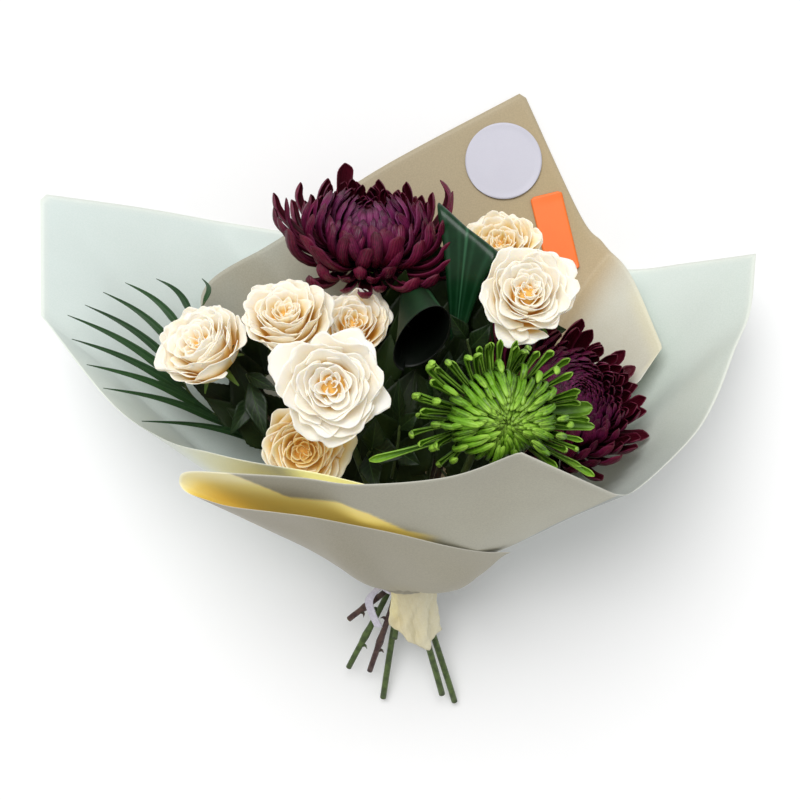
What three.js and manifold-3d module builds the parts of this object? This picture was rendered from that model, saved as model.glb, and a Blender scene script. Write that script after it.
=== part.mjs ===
// A hand-tied bouquet in a matte cream wrapper, lying on its back. Millimetres, +Z up.
// The stems point towards -Y and the heads towards +Y. The origin is on the flat back of the outer sheet,
// on the surface that the bouquet lies on.
import * as THREE from 'three';
import { mergeVertices } from 'three/addons/utils/BufferGeometryUtils.js';
import Module from 'manifold-3d';

const wasm = await Module();
wasm.setup();

// Driving dimensions.
const lean = THREE.MathUtils.degToRad(30); // the bunch's axis above the surface
const binding = new THREE.Vector3(4, -126, 57); // middle of the binding
const filmThickness = 0.9;
const innerRadius = 16.4; // outside of the inner back sheet where it is bound
const outerRadius = 18.7; // outside of the outer sheet where it is bound
const frontRadius = 23.4; // outside of the front sheet where it closes over the collar
const lapRadius = frontRadius + 1.9; // outside of its turned-back end there
const gatherDepth = 8; // how far the two back sheets run down inside the ribbon
const frontSkirt = 1; // how far the front sheet runs down outside it
const outerFloor = 0; // lowest face of the outer sheet
const innerFloor = 2.2; // lowest face of the inner back sheet
const chrysanthemumStem = 2.7; // radius
const roseStem = 2.5; // radius
const leafStalk = 1.7; // radius
const outerSlots = 10.2; // radius of the ring of nine stems at the binding
const innerSlots = 3.9; // radius of the ring of four stems inside it
const stemTieRadius = 14.2; // inside of the band round the bare stems
const seat = 0.4; // gap left between two pieces that meet
const stickerRadius = 29.5;
const labelWidth = 25;
const labelLength = 62;
const labelCorner = 3; // radius
const cardThickness = 0.5;

const { lerp } = THREE.MathUtils;
const across = new THREE.Vector3(1, 0, 0);
const along = new THREE.Vector3(0, Math.cos(lean), Math.sin(lean)); // from the cut ends to the heads
const front = new THREE.Vector3(0, -Math.sin(lean), Math.cos(lean)); // towards the viewer

// A point near the binding: a to the right, b towards the front, t along the axis towards the heads.
function atBinding(a, b, t) {
  return binding.clone().addScaledVector(across, a).addScaledVector(front, b).addScaledVector(along, t);
}

// Direction away from the axis, turned from +X towards the front.
function outward(turn) {
  const angle = THREE.MathUtils.degToRad(turn);
  return across.clone().multiplyScalar(Math.cos(angle)).addScaledVector(front, Math.sin(angle));
}

// Catmull-Rom through rows of numbers, t from 0 to 1 over the whole list.
function through(rows, t) {
  const place = Math.min(t * (rows.length - 1), rows.length - 1 - 1e-9);
  const i = Math.floor(place);
  const f = place - i;
  const b = rows[i];
  const c = rows[i + 1];
  const a = rows[i - 1] ?? b.map((x, k) => 2 * x - c[k]);
  const d = rows[i + 2] ?? c.map((x, k) => 2 * x - b[k]);
  return b.map((x, k) => {
    const square = 2 * a[k] - 5 * x + 4 * c[k] - d[k];
    const cube = 3 * (x - c[k]) + d[k] - a[k];
    return x + 0.5 * f * (c[k] - a[k] + f * (square + f * cube));
  });
}

// A closed geometry from a list of corners and faces of three or four corners each.
function solidFrom(points, faces) {
  const geometry = new THREE.BufferGeometry();
  const numbers = points.flatMap((p) => [p.x, p.y, p.z]);
  geometry.setAttribute('position', new THREE.Float32BufferAttribute(numbers, 3));
  geometry.setIndex(faces.flatMap(([a, b, c, d]) => (d === undefined ? [a, b, c] : [a, b, c, a, c, d])));
  geometry.computeVertexNormals();
  return geometry;
}

// Unit normal of a grid of points at (i, j), from its neighbours.
function gridNormal(grid, i, j) {
  const last = grid.length - 1;
  const end = grid[0].length - 1;
  const du = grid[Math.min(i + 1, last)][j].clone().sub(grid[Math.max(i - 1, 0)][j]);
  const dv = grid[i][Math.min(j + 1, end)].clone().sub(grid[i][Math.max(j - 1, 0)]);
  return du.cross(dv).normalize();
}

// A thin closed sheet: the grid is its outer face, and the other face lies one thickness along the normals.
function sheetSolid(grid, thickness) {
  const columns = grid.length;
  const rows = grid[0].length;
  const size = columns * rows;
  const behind = (p, i, j) => p.clone().addScaledVector(gridNormal(grid, i, j), thickness);
  const inner = grid.map((line, i) => line.map((p, j) => behind(p, i, j)));
  const at = (i, j) => i * rows + j;
  const faces = [];
  for (let i = 0; i < columns - 1; i += 1) {
    for (let j = 0; j < rows - 1; j += 1) {
      faces.push([at(i, j), at(i, j + 1), at(i + 1, j + 1), at(i + 1, j)]);
      faces.push([size + at(i, j), size + at(i + 1, j), size + at(i + 1, j + 1), size + at(i, j + 1)]);
    }
    faces.push([at(i, 0), at(i + 1, 0), size + at(i + 1, 0), size + at(i, 0)]);
    faces.push([at(i + 1, rows - 1), at(i, rows - 1), size + at(i, rows - 1), size + at(i + 1, rows - 1)]);
  }
  for (let j = 0; j < rows - 1; j += 1) {
    faces.push([at(0, j + 1), at(0, j), size + at(0, j), size + at(0, j + 1)]);
    const k = columns - 1;
    faces.push([at(k, j), at(k, j + 1), size + at(k, j + 1), size + at(k, j)]);
  }
  return solidFrom([...grid.flat(), ...inner.flat()], faces);
}

// The solids joined into one body.
function joined(geometries) {
  const solids = geometries.map((geometry) => {
    const bare = geometry.clone();
    bare.deleteAttribute('normal');
    bare.deleteAttribute('uv');
    const merged = mergeVertices(bare, 1e-4);
    return new wasm.Manifold(new wasm.Mesh({
      numProp: 3,
      vertProperties: Float32Array.from(merged.attributes.position.array),
      triVerts: Uint32Array.from(merged.index.array),
    }));
  });
  const { vertProperties, triVerts } = solids.reduce((sum, solid) => sum.add(solid)).getMesh();
  const geometry = new THREE.BufferGeometry();
  geometry.setAttribute('position', new THREE.BufferAttribute(vertProperties, 3));
  geometry.setIndex(new THREE.BufferAttribute(triVerts, 1));
  geometry.computeVertexNormals();
  return geometry;
}

const finish = (color, roughness) => new THREE.MeshStandardMaterial({ color, roughness, metalness: 0 });
const film = (colour) => finish(colour, 0.55);
const card = (colour) => finish(colour, 0.4);
const waxyLeaf = (colour) => finish(colour, 0.3);
const plant = (colour) => finish(colour, 0.6);

const bouquet = new THREE.Group();
function add(name, geometry, material) {
  const mesh = new THREE.Mesh(geometry, material);
  mesh.name = name;
  bouquet.add(mesh);
  return mesh;
}

// Wrapper sheets. Each rib runs from the binding to the rim:
// [turn at the binding, radius there, rim x, rim y, rim z, sag].
// A rib leaves the binding, bows outwards by its sag, most at a third of its length, and never goes lower
// than the floor of its sheet, so a rim below the floor gives a sheet that lies flat.
const ringRise = 2; // a rib starts to spread this far above the middle of the binding
const bowScale = 6.75; // v (1 - v)^2 is 1 / 6.75 where it is largest, at a third
const outerRibs = [
  [100, outerRadius, -22, -52, 219, 1],
  [112, outerRadius, -53, -45, 217, 1],
  [128, outerRadius, -93, -38.7, 211, 1],
  [143, outerRadius, -120, -33, 203, 2],
  [158, outerRadius, -151, -25, 190, 6],
  [175, outerRadius, -192, -1, 160, 14],
  [192, outerRadius, -250, 59, 110, 24],
  [212, outerRadius, -263, 151, 60, 30],
  [230, outerRadius, -188, 145, 18, 34],
  [246, outerRadius, -100, 132, -14, 36],
  [263, outerRadius, 0, 116, -16, 37],
  [279, outerRadius, 93, 107, -14, 38],
  [296, outerRadius, 173, 101, -4, 36],
  [312, outerRadius, 217, 103, 33, 34],
  [326, outerRadius, 258, 106, 70, 32],
  [338, outerRadius, 249, 64, 90, 30],
  [348, outerRadius, 232, 35, 115, 28],
  [357, outerRadius, 213, 0, 140, 24],
  [6, outerRadius, 191, -26, 165, 16],
  [16, outerRadius, 152, -58, 184, 6],
  [24, outerRadius, 134, -60, 189, -2],
];
const innerRibs = [
  [205, innerRadius, -128, 24, 66, 14],
  [222, innerRadius, -147, 83, 34, 20],
  [240, innerRadius, -85, 130, -10, 26],
  [256, innerRadius, -19, 177, -12, 28],
  [272, innerRadius, 95, 238, -14, 28],
  [286, innerRadius, 139, 143, -10, 28],
  [298, innerRadius, 157, 121, -4, 28],
  [312, innerRadius, 174, 96, 22, 26],
  [330, innerRadius, 189, 38, 78, 22],
  [342, innerRadius, 172, 14, 82, 18],
];
// The front sheet runs from the right over the front to the left, turns back on itself
// and ends over the front.
const frontRibs = [
  [12, frontRadius, 137, -60, 206, 5],
  [28, frontRadius, 110, -48, 234, 10],
  [50, frontRadius, 72, -31, 254, 18],
  [72, frontRadius, 30, -46, 246, 11],
  [95, frontRadius, -24, -51, 240, 5],
  [116, frontRadius, -61, -47, 234, 4],
  [138, frontRadius, -101, -45, 225, 2],
  [160, frontRadius, -133, -45, 207, 1],
  [172, lerp(frontRadius, lapRadius, 0.4), -140, -51, 199, 1],
  [168, lerp(frontRadius, lapRadius, 0.9), -136, -58, 198, 2],
  [154, lapRadius, -122, -63, 203, 1],
  [140, lapRadius, -106, -67, 208, 2],
  [126, lapRadius, -79, -70, 213, 8],
  [112, lapRadius, -55, -73, 214, 14],
  [98, lapRadius, -28.7, -79.8, 194, 8],
  [84, lapRadius, 0, -86.1, 188, 10],
  [70, lapRadius, 30.6, -94.6, 174.5, 16],
  [54, lapRadius, 54.8, -100.8, 153, 18],
  [38, lapRadius, 76, -104, 128, 12],
];

// The turns of a sheet's ribs with no jump from 360 to 0.
function unwound(turns) {
  const result = [turns[0]];
  turns.slice(1).forEach((turn, k) => {
    result.push(result[k] + THREE.MathUtils.euclideanModulo(turn - turns[k] + 180, 360) - 180);
  });
  return result;
}

// The outer face of a wrapper sheet as a grid: columns across the ribs, rows from the binding to the rim.
function sheetGrid(ribs, columns, rows, floor, skirt) {
  const turns = unwound(ribs.map((rib) => rib[0]));
  const even = ribs.map((rib, i) => [turns[i], ...rib.slice(1)]);
  const grid = [];
  for (let i = 0; i <= columns; i += 1) {
    const [turn, radius, x, y, z, sag] = through(even, i / columns);
    const away = outward(turn);
    const top = binding.clone().addScaledVector(away, radius).addScaledVector(along, ringRise);
    const rim = new THREE.Vector3(x, y, z);
    const line = [binding.clone().addScaledVector(away, radius).addScaledVector(along, -skirt)];
    for (let j = 0; j <= rows; j += 1) {
      const v = j / rows;
      line.push(top.clone().lerp(rim, v).addScaledVector(away, bowScale * sag * v * (1 - v) ** 2));
    }
    line.forEach((p) => p.setZ(Math.max(p.z, floor)));
    grid.push(line);
  }
  return grid;
}

add('outer_sheet', sheetSolid(sheetGrid(outerRibs, 40, 8, outerFloor, gatherDepth), filmThickness), film(0xdce4dc));
add('inner_back_sheet', sheetSolid(sheetGrid(innerRibs, 20, 8, innerFloor, gatherDepth), filmThickness), film(0xd8c6a2));
add('front_sheet', sheetSolid(sheetGrid(frontRibs, 36, 7, innerFloor, frontSkirt), filmThickness), film(0xc6c1a8));

// The stem collar: a short pleated sheet over the ribbon, in front of the stems.
const collarTurns = [16, 118]; // degrees round the axis
const collarLengths = [48, 57, 45, 32]; // from its right edge to its left edge
const collarTop = 1; // it starts this far above the middle of the binding
const collarRadius = 22.1; // outside of it there
const collarPleats = 3;
const collarPleatDepth = 2.2;
const collarFlare = [4, 2]; // how far its right and left ends stand away from the axis
function collarGrid(columns, rows) {
  const grid = [];
  for (let i = 0; i <= columns; i += 1) {
    const u = i / columns;
    const turn = lerp(...collarTurns, u);
    const [length] = through(collarLengths.map((x) => [x]), u);
    const line = [];
    for (let j = rows; j >= 0; j -= 1) {
      const v = j / rows;
      const pleat = collarPleatDepth * Math.sin(v * 2) ** 2 * Math.sin(2 * Math.PI * collarPleats * u);
      const radius = collarRadius + lerp(...collarFlare, u) * v * v + pleat;
      const drop = v * length - collarTop;
      line.push(binding.clone().addScaledVector(outward(turn), radius).addScaledVector(along, -drop));
    }
    grid.push(line);
  }
  return grid;
}
add('stem_collar', sheetSolid(collarGrid(24, 5), filmThickness), film(0xd6cfae));

// The binding ribbon: a band round the gathered sheets, and its tail, as [right, front, up] from the binding.
const ribbonWidth = 7;
const ribbonThickness = 0.8;
const ribbonInside = outerRadius + 1.2;
const tailWidth = 6.5;
const tailSide = new THREE.Vector3(0.9, 0, 0.43);
const tailPoints = [
  [-17.3, 11.4, -4], [-22, 12.5, -8], [-26.5, 13, -16], [-24.5, 12.5, -28], [-20, 12, -42],
];
function band(inside, width, thickness) {
  const outside = inside + thickness;
  const profile = [[inside, 0], [outside, 0], [outside, width], [inside, width], [inside, 0]];
  return new THREE.LatheGeometry(profile.map(([r, h]) => new THREE.Vector2(r, h)), 32);
}
const axisTurn = new THREE.Quaternion().setFromUnitVectors(new THREE.Vector3(0, 1, 0), along);
const ribbonBand = band(ribbonInside, ribbonWidth, ribbonThickness)
  .applyQuaternion(axisTurn)
  .translate(...atBinding(0, 0, seat - gatherDepth).toArray());
function stripGrid(points, width, side, columns) {
  const left = [];
  const right = [];
  for (let i = 0; i <= columns; i += 1) {
    const p = atBinding(...through(points, i / columns));
    left.push(p.clone().addScaledVector(side, -width / 2));
    right.push(p.clone().addScaledVector(side, width / 2));
  }
  return [left, right];
}
const tail = sheetSolid(stripGrid(tailPoints, tailWidth, tailSide, 12), ribbonThickness);
add('binding_ribbon', joined([ribbonBand, tail]), film(0xd9d7dc));

// The tie round the bare stems, inside the sheets.
const tieWidth = 5;
const tieThickness = 0.8;
add('stem_tie', band(stemTieRadius, tieWidth, tieThickness).applyQuaternion(axisTurn)
  .translate(...atBinding(0, 0, -tieWidth / 2).toArray()), film(0xb9a77a));

// Bare round sticker and bare label, flat on the inner back sheet.
const stickerCentre = [79.8, 184.3];
const labelCentre = [119.5, 128.5];
const labelTurn = 13.5; // degrees
const cardFace = innerFloor + filmThickness + seat;
const sticker = new THREE.CylinderGeometry(stickerRadius, stickerRadius, cardThickness, 40)
  .rotateX(Math.PI / 2);
add('round_sticker', sticker, card(0xdcdae6)).position.set(...stickerCentre, cardFace + cardThickness / 2);

function roundedPlate(width, length, corner, thickness) {
  const w = width / 2;
  const l = length / 2;
  const outline = new THREE.Shape();
  outline.absarc(w - corner, l - corner, corner, 0, Math.PI / 2);
  outline.absarc(corner - w, l - corner, corner, Math.PI / 2, Math.PI);
  outline.absarc(corner - w, corner - l, corner, Math.PI, 1.5 * Math.PI);
  outline.absarc(w - corner, corner - l, corner, 1.5 * Math.PI, 2 * Math.PI);
  return new THREE.ExtrudeGeometry(outline, { depth: thickness, bevelEnabled: false, curveSegments: 5 });
}
const label = add('price_label', roundedPlate(labelWidth, labelLength, labelCorner, cardThickness), card(0xff6a1f));
label.position.set(...labelCentre, cardFace);
label.rotation.z = THREE.MathUtils.degToRad(labelTurn);

// Bloom bodies: [radius, height] from the base up to the middle of the face, with lobes for the petal tips.
const incurvedProfile = [
  [8, 0], [30, -2], [58, 8], [62, 14], [55, 24], [54, 36], [42, 49], [24, 50], [10, 45],
];
const domedProfile = [[8, 0], [36, -3], [59, 8], [61, 15], [52, 29], [38, 40], [22, 46], [10, 47]];
const spiderProfile = [[7, 0], [24, 2], [50, 11], [56, 17], [46, 29], [32, 37], [18, 40], [8, 36]];
const roseProfile = [[5, 0], [9, 2], [14, 9], [25, 15], [34, 24], [36, 32], [30, 38], [20, 41], [10, 40]];

// What the kinds of flower share: the body of the head, its lobes and how deep they are, and the stem.
const kinds = {
  incurved: { profile: incurvedProfile, lobes: 13, depth: 0.04, colour: 0x5a1838, stem: chrysanthemumStem },
  domed: { profile: domedProfile, lobes: 13, depth: 0.04, colour: 0x5a1838, stem: chrysanthemumStem },
  spider: { profile: spiderProfile, lobes: 12, depth: 0.04, colour: 0x7fb52a, stem: chrysanthemumStem },
  rose: { profile: roseProfile, lobes: 5, depth: 0.05, colour: 0xf3e4cf, stem: roseStem },
};
const segmentsPerLobe = 3;

// A bloom body with its base at the origin, facing +Z. Its rows of lobes are set half a step apart.
function bloomSolid({ profile, lobes, depth }, scale) {
  const points = [[0, profile[0][1]], ...profile, [0, profile.at(-1)[1] - 2]];
  const segments = segmentsPerLobe * lobes;
  const geometry = new THREE.LatheGeometry(points.map(([r, h]) => new THREE.Vector2(r, h)), segments);
  const place = geometry.attributes.position;
  const rings = points.length;
  for (let k = 0; k < place.count; k += 1) {
    const ring = k % rings;
    const segment = Math.floor(k / rings) % segments;
    const edge = ring > 1 && ring < rings - 1 ? depth : 0;
    const swell = 1 + edge * Math.cos((2 * Math.PI * segment) / segmentsPerLobe + ring * Math.PI);
    place.setXYZ(k, place.getX(k) * swell * scale, place.getY(k) * scale, place.getZ(k) * swell * scale);
  }
  return geometry.rotateX(Math.PI / 2);
}

// Tube along points that stands square on its first and last stretch.
function stemSolid(points, radius, sides, steps) {
  const curve = new THREE.CatmullRomCurve3(points, false, 'centripetal');
  const section = new THREE.Shape();
  for (let k = 0; k < sides; k += 1) {
    const angle = (2 * Math.PI * k) / sides;
    const corner = [radius * Math.cos(angle), radius * Math.sin(angle)];
    if (k === 0) section.moveTo(...corner);
    else section.lineTo(...corner);
  }
  section.closePath();
  return new THREE.ExtrudeGeometry(section, { steps, bevelEnabled: false, extrudePath: curve });
}

// A point of the stem that has the place [ring, turn] at the binding, t along the axis from there.
function slotPoint([ring, turn], t) {
  return binding.clone().addScaledVector(outward(turn), ring).addScaledVector(along, t);
}

// Flowers: kind, base of the head, the way it faces, its size, a point where its stem bends inside the bunch,
// its place at the binding as [ring, turn], and the middle of its cut end.
const flowers = {
  chrysanthemum_top: {
    kind: kinds.incurved, base: [-24, 101, 74], faces: [0.05, 0.88, 0.47], scale: 1,
    bend: [-14, 10, 38], slot: [outerSlots, 250], end: [-13, -229, 5.5],
  },
  chrysanthemum_right: {
    kind: kinds.domed, base: [107, -12, 107], faces: [0.34, 0.48, 0.81], scale: 0.94,
    bend: [62, -62, 80], slot: [outerSlots, 10], end: [42, -232, 5],
  },
  chrysanthemum_green: {
    kind: kinds.spider, base: [60, -12, 193], faces: [0.12, -0.06, 0.99], scale: 0.87,
    bend: [42, -52, 140], slot: [outerSlots, 52], end: [32, -224, 17],
  },
  rose_left: {
    kind: kinds.rose, base: [-127, 26, 112], faces: [-0.4, 0.48, 0.78], scale: 0.92,
    bend: [-66, -46, 92], slot: [outerSlots, 170], end: [-38, -163, 42],
  },
  rose_upper_left: {
    kind: kinds.rose, base: [-76, 43, 127], faces: [-0.05, 0.58, 0.81], scale: 0.88,
    bend: [-46, -32, 80], slot: [outerSlots, 210], end: [-39, -203, 20],
  },
  rose_behind: {
    kind: kinds.rose, base: [-34, 46, 86], faces: [0.05, 0.35, 0.94], scale: 0.78,
    bend: [-20, -36, 72], slot: [innerSlots, 135], end: [-4, -178, 37],
  },
  rose_front: {
    kind: kinds.rose, base: [-43, 8, 187], faces: [0, 0.02, 1], scale: 1,
    bend: [-26, -48, 130], slot: [outerSlots, 90], end: [6, -174, 48],
  },
  rose_low: {
    kind: kinds.rose, base: [-64, -32, 139], faces: [0.02, -0.05, 1], scale: 0.88,
    bend: [-42, -72, 104], slot: [outerSlots, 130], end: [-23, -206, 17],
  },
  rose_right: {
    kind: kinds.rose, base: [83, 64, 152], faces: [0, 0.25, 0.97], scale: 0.92,
    bend: [46, 2, 98], slot: [outerSlots, 330], end: [17, -180, 28],
  },
  rose_far_right: {
    kind: kinds.rose, base: [74, 98, 70], faces: [-0.1, 0.5, 0.86], scale: 0.85,
    bend: [44, 10, 46], slot: [outerSlots, 290], end: [10, -182, 22],
  },
};
const neck = 14; // a stem runs straight under its head for this far
const slotReach = 9; // and past the binding, on both sides of it

for (const [name, { kind, base, faces, scale, bend, slot, end }] of Object.entries(flowers)) {
  const foot = new THREE.Vector3(...base);
  const facing = new THREE.Vector3(...faces).normalize();
  const bloom = add(name, bloomSolid(kind, scale), plant(kind.colour));
  bloom.quaternion.setFromUnitVectors(new THREE.Vector3(0, 0, 1), facing);
  bloom.position.copy(foot);
  const path = [
    foot.clone().addScaledVector(facing, kind.profile[0][1] * scale - seat),
    foot.clone().addScaledVector(facing, -neck),
    new THREE.Vector3(...bend),
    slotPoint(slot, slotReach),
    slotPoint(slot, -slotReach),
    new THREE.Vector3(...end),
  ];
  add(`${name}_stem`, stemSolid(path, kind.stem, 7, 15), plant(0x4f5a2c));
}

// Leaves. A blade follows its midrib points, with a half width at each, and its two sides rise by the fold.
const leafThickness = 1;
function bladeSolid(points, halfWidths, side, fold, steps) {
  const sideways = new THREE.Vector3(...side).normalize();
  const rows = points.map((point, i) => [...point, halfWidths[i]]);
  const grid = [];
  for (let i = 0; i <= steps; i += 1) {
    const [x, y, z, half] = through(rows, i / steps);
    const before = through(points, Math.max(i / steps - 0.02, 0));
    const after = through(points, Math.min(i / steps + 0.02, 1));
    const forward = new THREE.Vector3(...after).sub(new THREE.Vector3(...before)).normalize();
    const lift = sideways.clone().cross(forward).multiplyScalar(fold * half);
    const mid = new THREE.Vector3(x, y, z);
    const [left, right] = [-half, half].map((reach) => mid.clone().addScaledVector(sideways, reach).add(lift));
    grid.push([left, mid, right]);
  }
  return sheetSolid(grid, leafThickness);
}

// A pointed leaflet from its base to its tip, as a blade with an arch in the middle.
function leafletSolid(base, tip, halfWidth, arch) {
  const middle = base.map((x, k) => (x + tip[k]) / 2 + (k === 2 ? arch : 0));
  const side = [tip[1] - base[1], base[0] - tip[0], 0];
  return bladeSolid([base, middle, tip], [halfWidth * 0.25, halfWidth, 0.5], side, 0.15, 4);
}

// Palm frond: a midrib with narrow leaflets: [place along the midrib, tip x, y, z, half width].
const boundStretch = [
  [-2.8, -2.8, -30], [-2.8, -2.8, -9], [-2.8, -2.8, 9], [-6, -8, 24], [-17, -24, 44], [-46, -35, 66],
];
const midribPoints = [
  ...boundStretch.map((point) => atBinding(...point).toArray()),
  [-104, -29, 72], [-132, -11, 83], [-150, 6, 92], [-155, 26, 92], [-151, 50, 82], [-141, 71, 72],
];
const palmLeaflets = [
  [0.52, -171, -14, 158, 3.4],
  [0.58, -198, 8, 151, 4],
  [0.64, -212, 24, 138, 4.2],
  [0.69, -226, 42, 121, 4.4],
  [0.74, -231, 59, 112, 4.6],
  [0.79, -222, 67, 98, 4.4],
  [0.84, -212, 77, 84, 4.2],
  [0.89, -199, 85, 70, 4],
  [0.94, -179, 89, 56, 3.6],
  [0.99, -147, 90, 44, 3],
];
const palmArch = 5;
const midrib = stemSolid(midribPoints.map((point) => new THREE.Vector3(...point)), leafStalk, 6, 30);
const leaflets = palmLeaflets
  .map(([place, x, y, z, half]) => leafletSolid(through(midribPoints, place), [x, y, z], half, palmArch));
add('palm_frond', joined([midrib, ...leaflets]), plant(0x2c4a2b));

// Aspidistra leaves: one curled into an open tube, one folded over at its top.
// The tube's two ends: middle, half width and half height. Its section is tilted to the right,
// and it is open along its front by twice the angle; both angles are in degrees.
const curl = {
  back: [12, 68, 101], mouth: [15, 41, 150], backHalf: [12, 13], mouthHalf: [13, 24], tilt: 34, open: 14,
  steps: 16, rings: 3,
};
function curlGrid({ back, mouth, backHalf, mouthHalf, tilt, open, steps, rings }) {
  const axis = new THREE.Vector3(...mouth).sub(new THREE.Vector3(...back)).normalize();
  const tilted = across.clone().applyAxisAngle(axis, THREE.MathUtils.degToRad(-tilt));
  const wide = tilted.addScaledVector(axis, -tilted.dot(axis)).normalize();
  const high = axis.clone().cross(wide).normalize();
  const grid = [];
  for (let i = 0; i <= steps; i += 1) {
    const angle = THREE.MathUtils.degToRad(lerp(open, 360 - open, i / steps) - 90);
    const line = [];
    for (let j = 0; j <= rings; j += 1) {
      const v = j / rings;
      line.push(new THREE.Vector3(...back).lerp(new THREE.Vector3(...mouth), v)
        .addScaledVector(wide, Math.cos(angle) * lerp(backHalf[0], mouthHalf[0], v))
        .addScaledVector(high, Math.sin(angle) * lerp(backHalf[1], mouthHalf[1], v)));
    }
    grid.push(line);
  }
  return grid;
}
const leafGreen = 0x1e4226;
const curlStalk = stemSolid([
  new THREE.Vector3(26, 63, 101), new THREE.Vector3(25, 50, 92), new THREE.Vector3(16, -10, 66),
  atBinding(2.8, 2.8, 9), atBinding(2.8, 2.8, -9), atBinding(3.4, 2, -44),
], leafStalk, 6, 14);
add('aspidistra_curled', joined([sheetSolid(curlGrid(curl), leafThickness), curlStalk]), waxyLeaf(leafGreen));

// The folded blade's midrib, up and over the fold, and its half width at each point.
const foldedPoints = [
  [38, 30, 92], [41, 60, 104], [44, 92, 117], [46, 112, 121], [47, 118, 116], [52, 98, 108], [44, 66, 97],
];
const foldedHalfWidths = [3, 9, 18, 27, 27, 15, 7];
const foldedSide = [0.74, -0.64, 0.3]; // the way that its fold runs
const foldedStalk = stemSolid([
  new THREE.Vector3(38, 34, 93.5), new THREE.Vector3(34, 10, 80), atBinding(11, -20, 42),
  atBinding(2.8, -2.8, 9), atBinding(2.8, -2.8, -9), atBinding(3, -3, -30),
], leafStalk, 6, 14);
const foldedBlade = bladeSolid(foldedPoints, foldedHalfWidths, foldedSide, 0.04, 14);
add('aspidistra_folded', joined([foldedBlade, foldedStalk]), waxyLeaf(leafGreen));

// Rose leaf sprays: a stalk with pointed leaflets: [base x, y, z, tip x, y, z, half width].
const leafSprays = {
  rose_leaves_left: {
    stalk: [[-94, -8, 103], [-100, 4, 108], [-106, 18, 116]],
    leaflets: [
      [-106, 18, 116, -83, 6, 128, 5],
      [-104, 12, 114, -92, -26, 122, 8],
      [-100, 4, 108, -118, -24, 112, 7],
    ],
  },
  rose_leaves_low: {
    stalk: [[-22, -46, 122], [-22, -38, 134], [-18, -32, 148]],
    leaflets: [
      [-18, -32, 148, 2, -38, 158, 9],
      [-22, -38, 134, -16, -60, 150, 8],
      [-19, -34, 146, -16, -12, 158, 8],
    ],
  },
  rose_leaves_middle: {
    stalk: [[-6, -54, 112], [-2, -34, 126], [0, -16, 138]],
    leaflets: [
      [0, -16, 138, -1, 14, 152, 4.5],
      [-2, -34, 126, 14, -44, 140, 7],
      [-1, -20, 135, 14, -8, 144, 6],
    ],
  },
  rose_leaves_centre: {
    stalk: [[36, -22, 84], [32, -4, 96], [30, 8, 106]],
    leaflets: [
      [30, 8, 106, 34, 34, 118, 8],
      [31, 2, 102, 18, 14, 118, 7],
      [33, -8, 94, 20, -22, 116, 8],
    ],
  },
  rose_leaves_right: {
    stalk: [[52, 16, 112], [49, 30, 120], [46, 42, 126]],
    leaflets: [
      [46, 42, 126, 34, 58, 136, 6],
      [48, 36, 123, 62, 52, 132, 7],
      [49, 30, 120, 38, 26, 130, 6],
    ],
  },
  rose_leaves_upper: {
    stalk: [[-58, 8, 98], [-58, 22, 112], [-56, 32, 122]],
    leaflets: [
      [-56, 32, 122, -44, 44, 136, 7],
      [-57, 26, 116, -74, 12, 126, 8],
      [-58, 22, 112, -40, 14, 126, 7],
    ],
  },
};
const sprayStalk = 1.1; // radius
const sprayArch = 3;
for (const [name, { stalk, leaflets: blades }] of Object.entries(leafSprays)) {
  const stem = stemSolid(stalk.map((point) => new THREE.Vector3(...point)), sprayStalk, 6, 4);
  const solids = blades.map((leaf) => leafletSolid(leaf.slice(0, 3), leaf.slice(3, 6), leaf[6], sprayArch));
  add(name, joined([stem, ...solids]), plant(0x24422a));
}

export default bouquet;
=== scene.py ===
# A hand-tied bouquet of chrysanthemums and roses in matte wrapping film, lying on its back.
import math

import bpy
import numpy as np
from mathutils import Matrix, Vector


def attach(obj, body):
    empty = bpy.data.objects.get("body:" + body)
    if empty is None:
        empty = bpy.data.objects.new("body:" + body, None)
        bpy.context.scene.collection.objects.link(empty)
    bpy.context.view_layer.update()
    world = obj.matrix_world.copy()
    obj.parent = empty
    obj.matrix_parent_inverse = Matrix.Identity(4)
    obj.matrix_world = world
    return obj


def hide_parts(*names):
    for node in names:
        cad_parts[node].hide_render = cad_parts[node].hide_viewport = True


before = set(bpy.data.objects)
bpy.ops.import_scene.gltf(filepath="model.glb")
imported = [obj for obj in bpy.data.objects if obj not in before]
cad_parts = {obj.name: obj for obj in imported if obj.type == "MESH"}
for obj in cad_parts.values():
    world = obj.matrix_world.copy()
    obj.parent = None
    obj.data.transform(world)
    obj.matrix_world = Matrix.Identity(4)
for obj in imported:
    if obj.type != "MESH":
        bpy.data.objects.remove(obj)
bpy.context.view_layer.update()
mm = 0.001  # all shapes are worked out in millimetres
goldenTurn = math.radians(137.508)
print("loaded the CAD model")

# The axis of the bunch leans out of the surface, and everything meets at the binding.
bunch = {
    "lean": 30,
    "binding": (4, -126, 57),
    "innerRadius": 16.4,  # outside of each sheet where it is bound
    "outerRadius": 18.7,
    "frontRadius": 23.4,
    "gatherDepth": 8,  # how far the back sheets run down inside the ribbon
    "outerRing": 10.2,  # nine stems stand on this ring and four on the next
    "innerRing": 3.9,
}
bunchLean = math.radians(bunch["lean"])
binding = np.array(bunch["binding"], float)
across = np.array([1.0, 0.0, 0.0])
along = np.array([0.0, math.cos(bunchLean), math.sin(bunchLean)])
front = np.array([0.0, -math.sin(bunchLean), math.cos(bunchLean)])


def atBinding(a, b, t):
    return binding + a * across + b * front + t * along


# The way that lies at an angle from a, towards b.
def circling(angle, a, b):
    angle = np.asarray(angle, float)[..., None]
    return np.cos(angle) * a + np.sin(angle) * b


def outward(turn):
    return circling(np.radians(turn), across, front)


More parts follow.
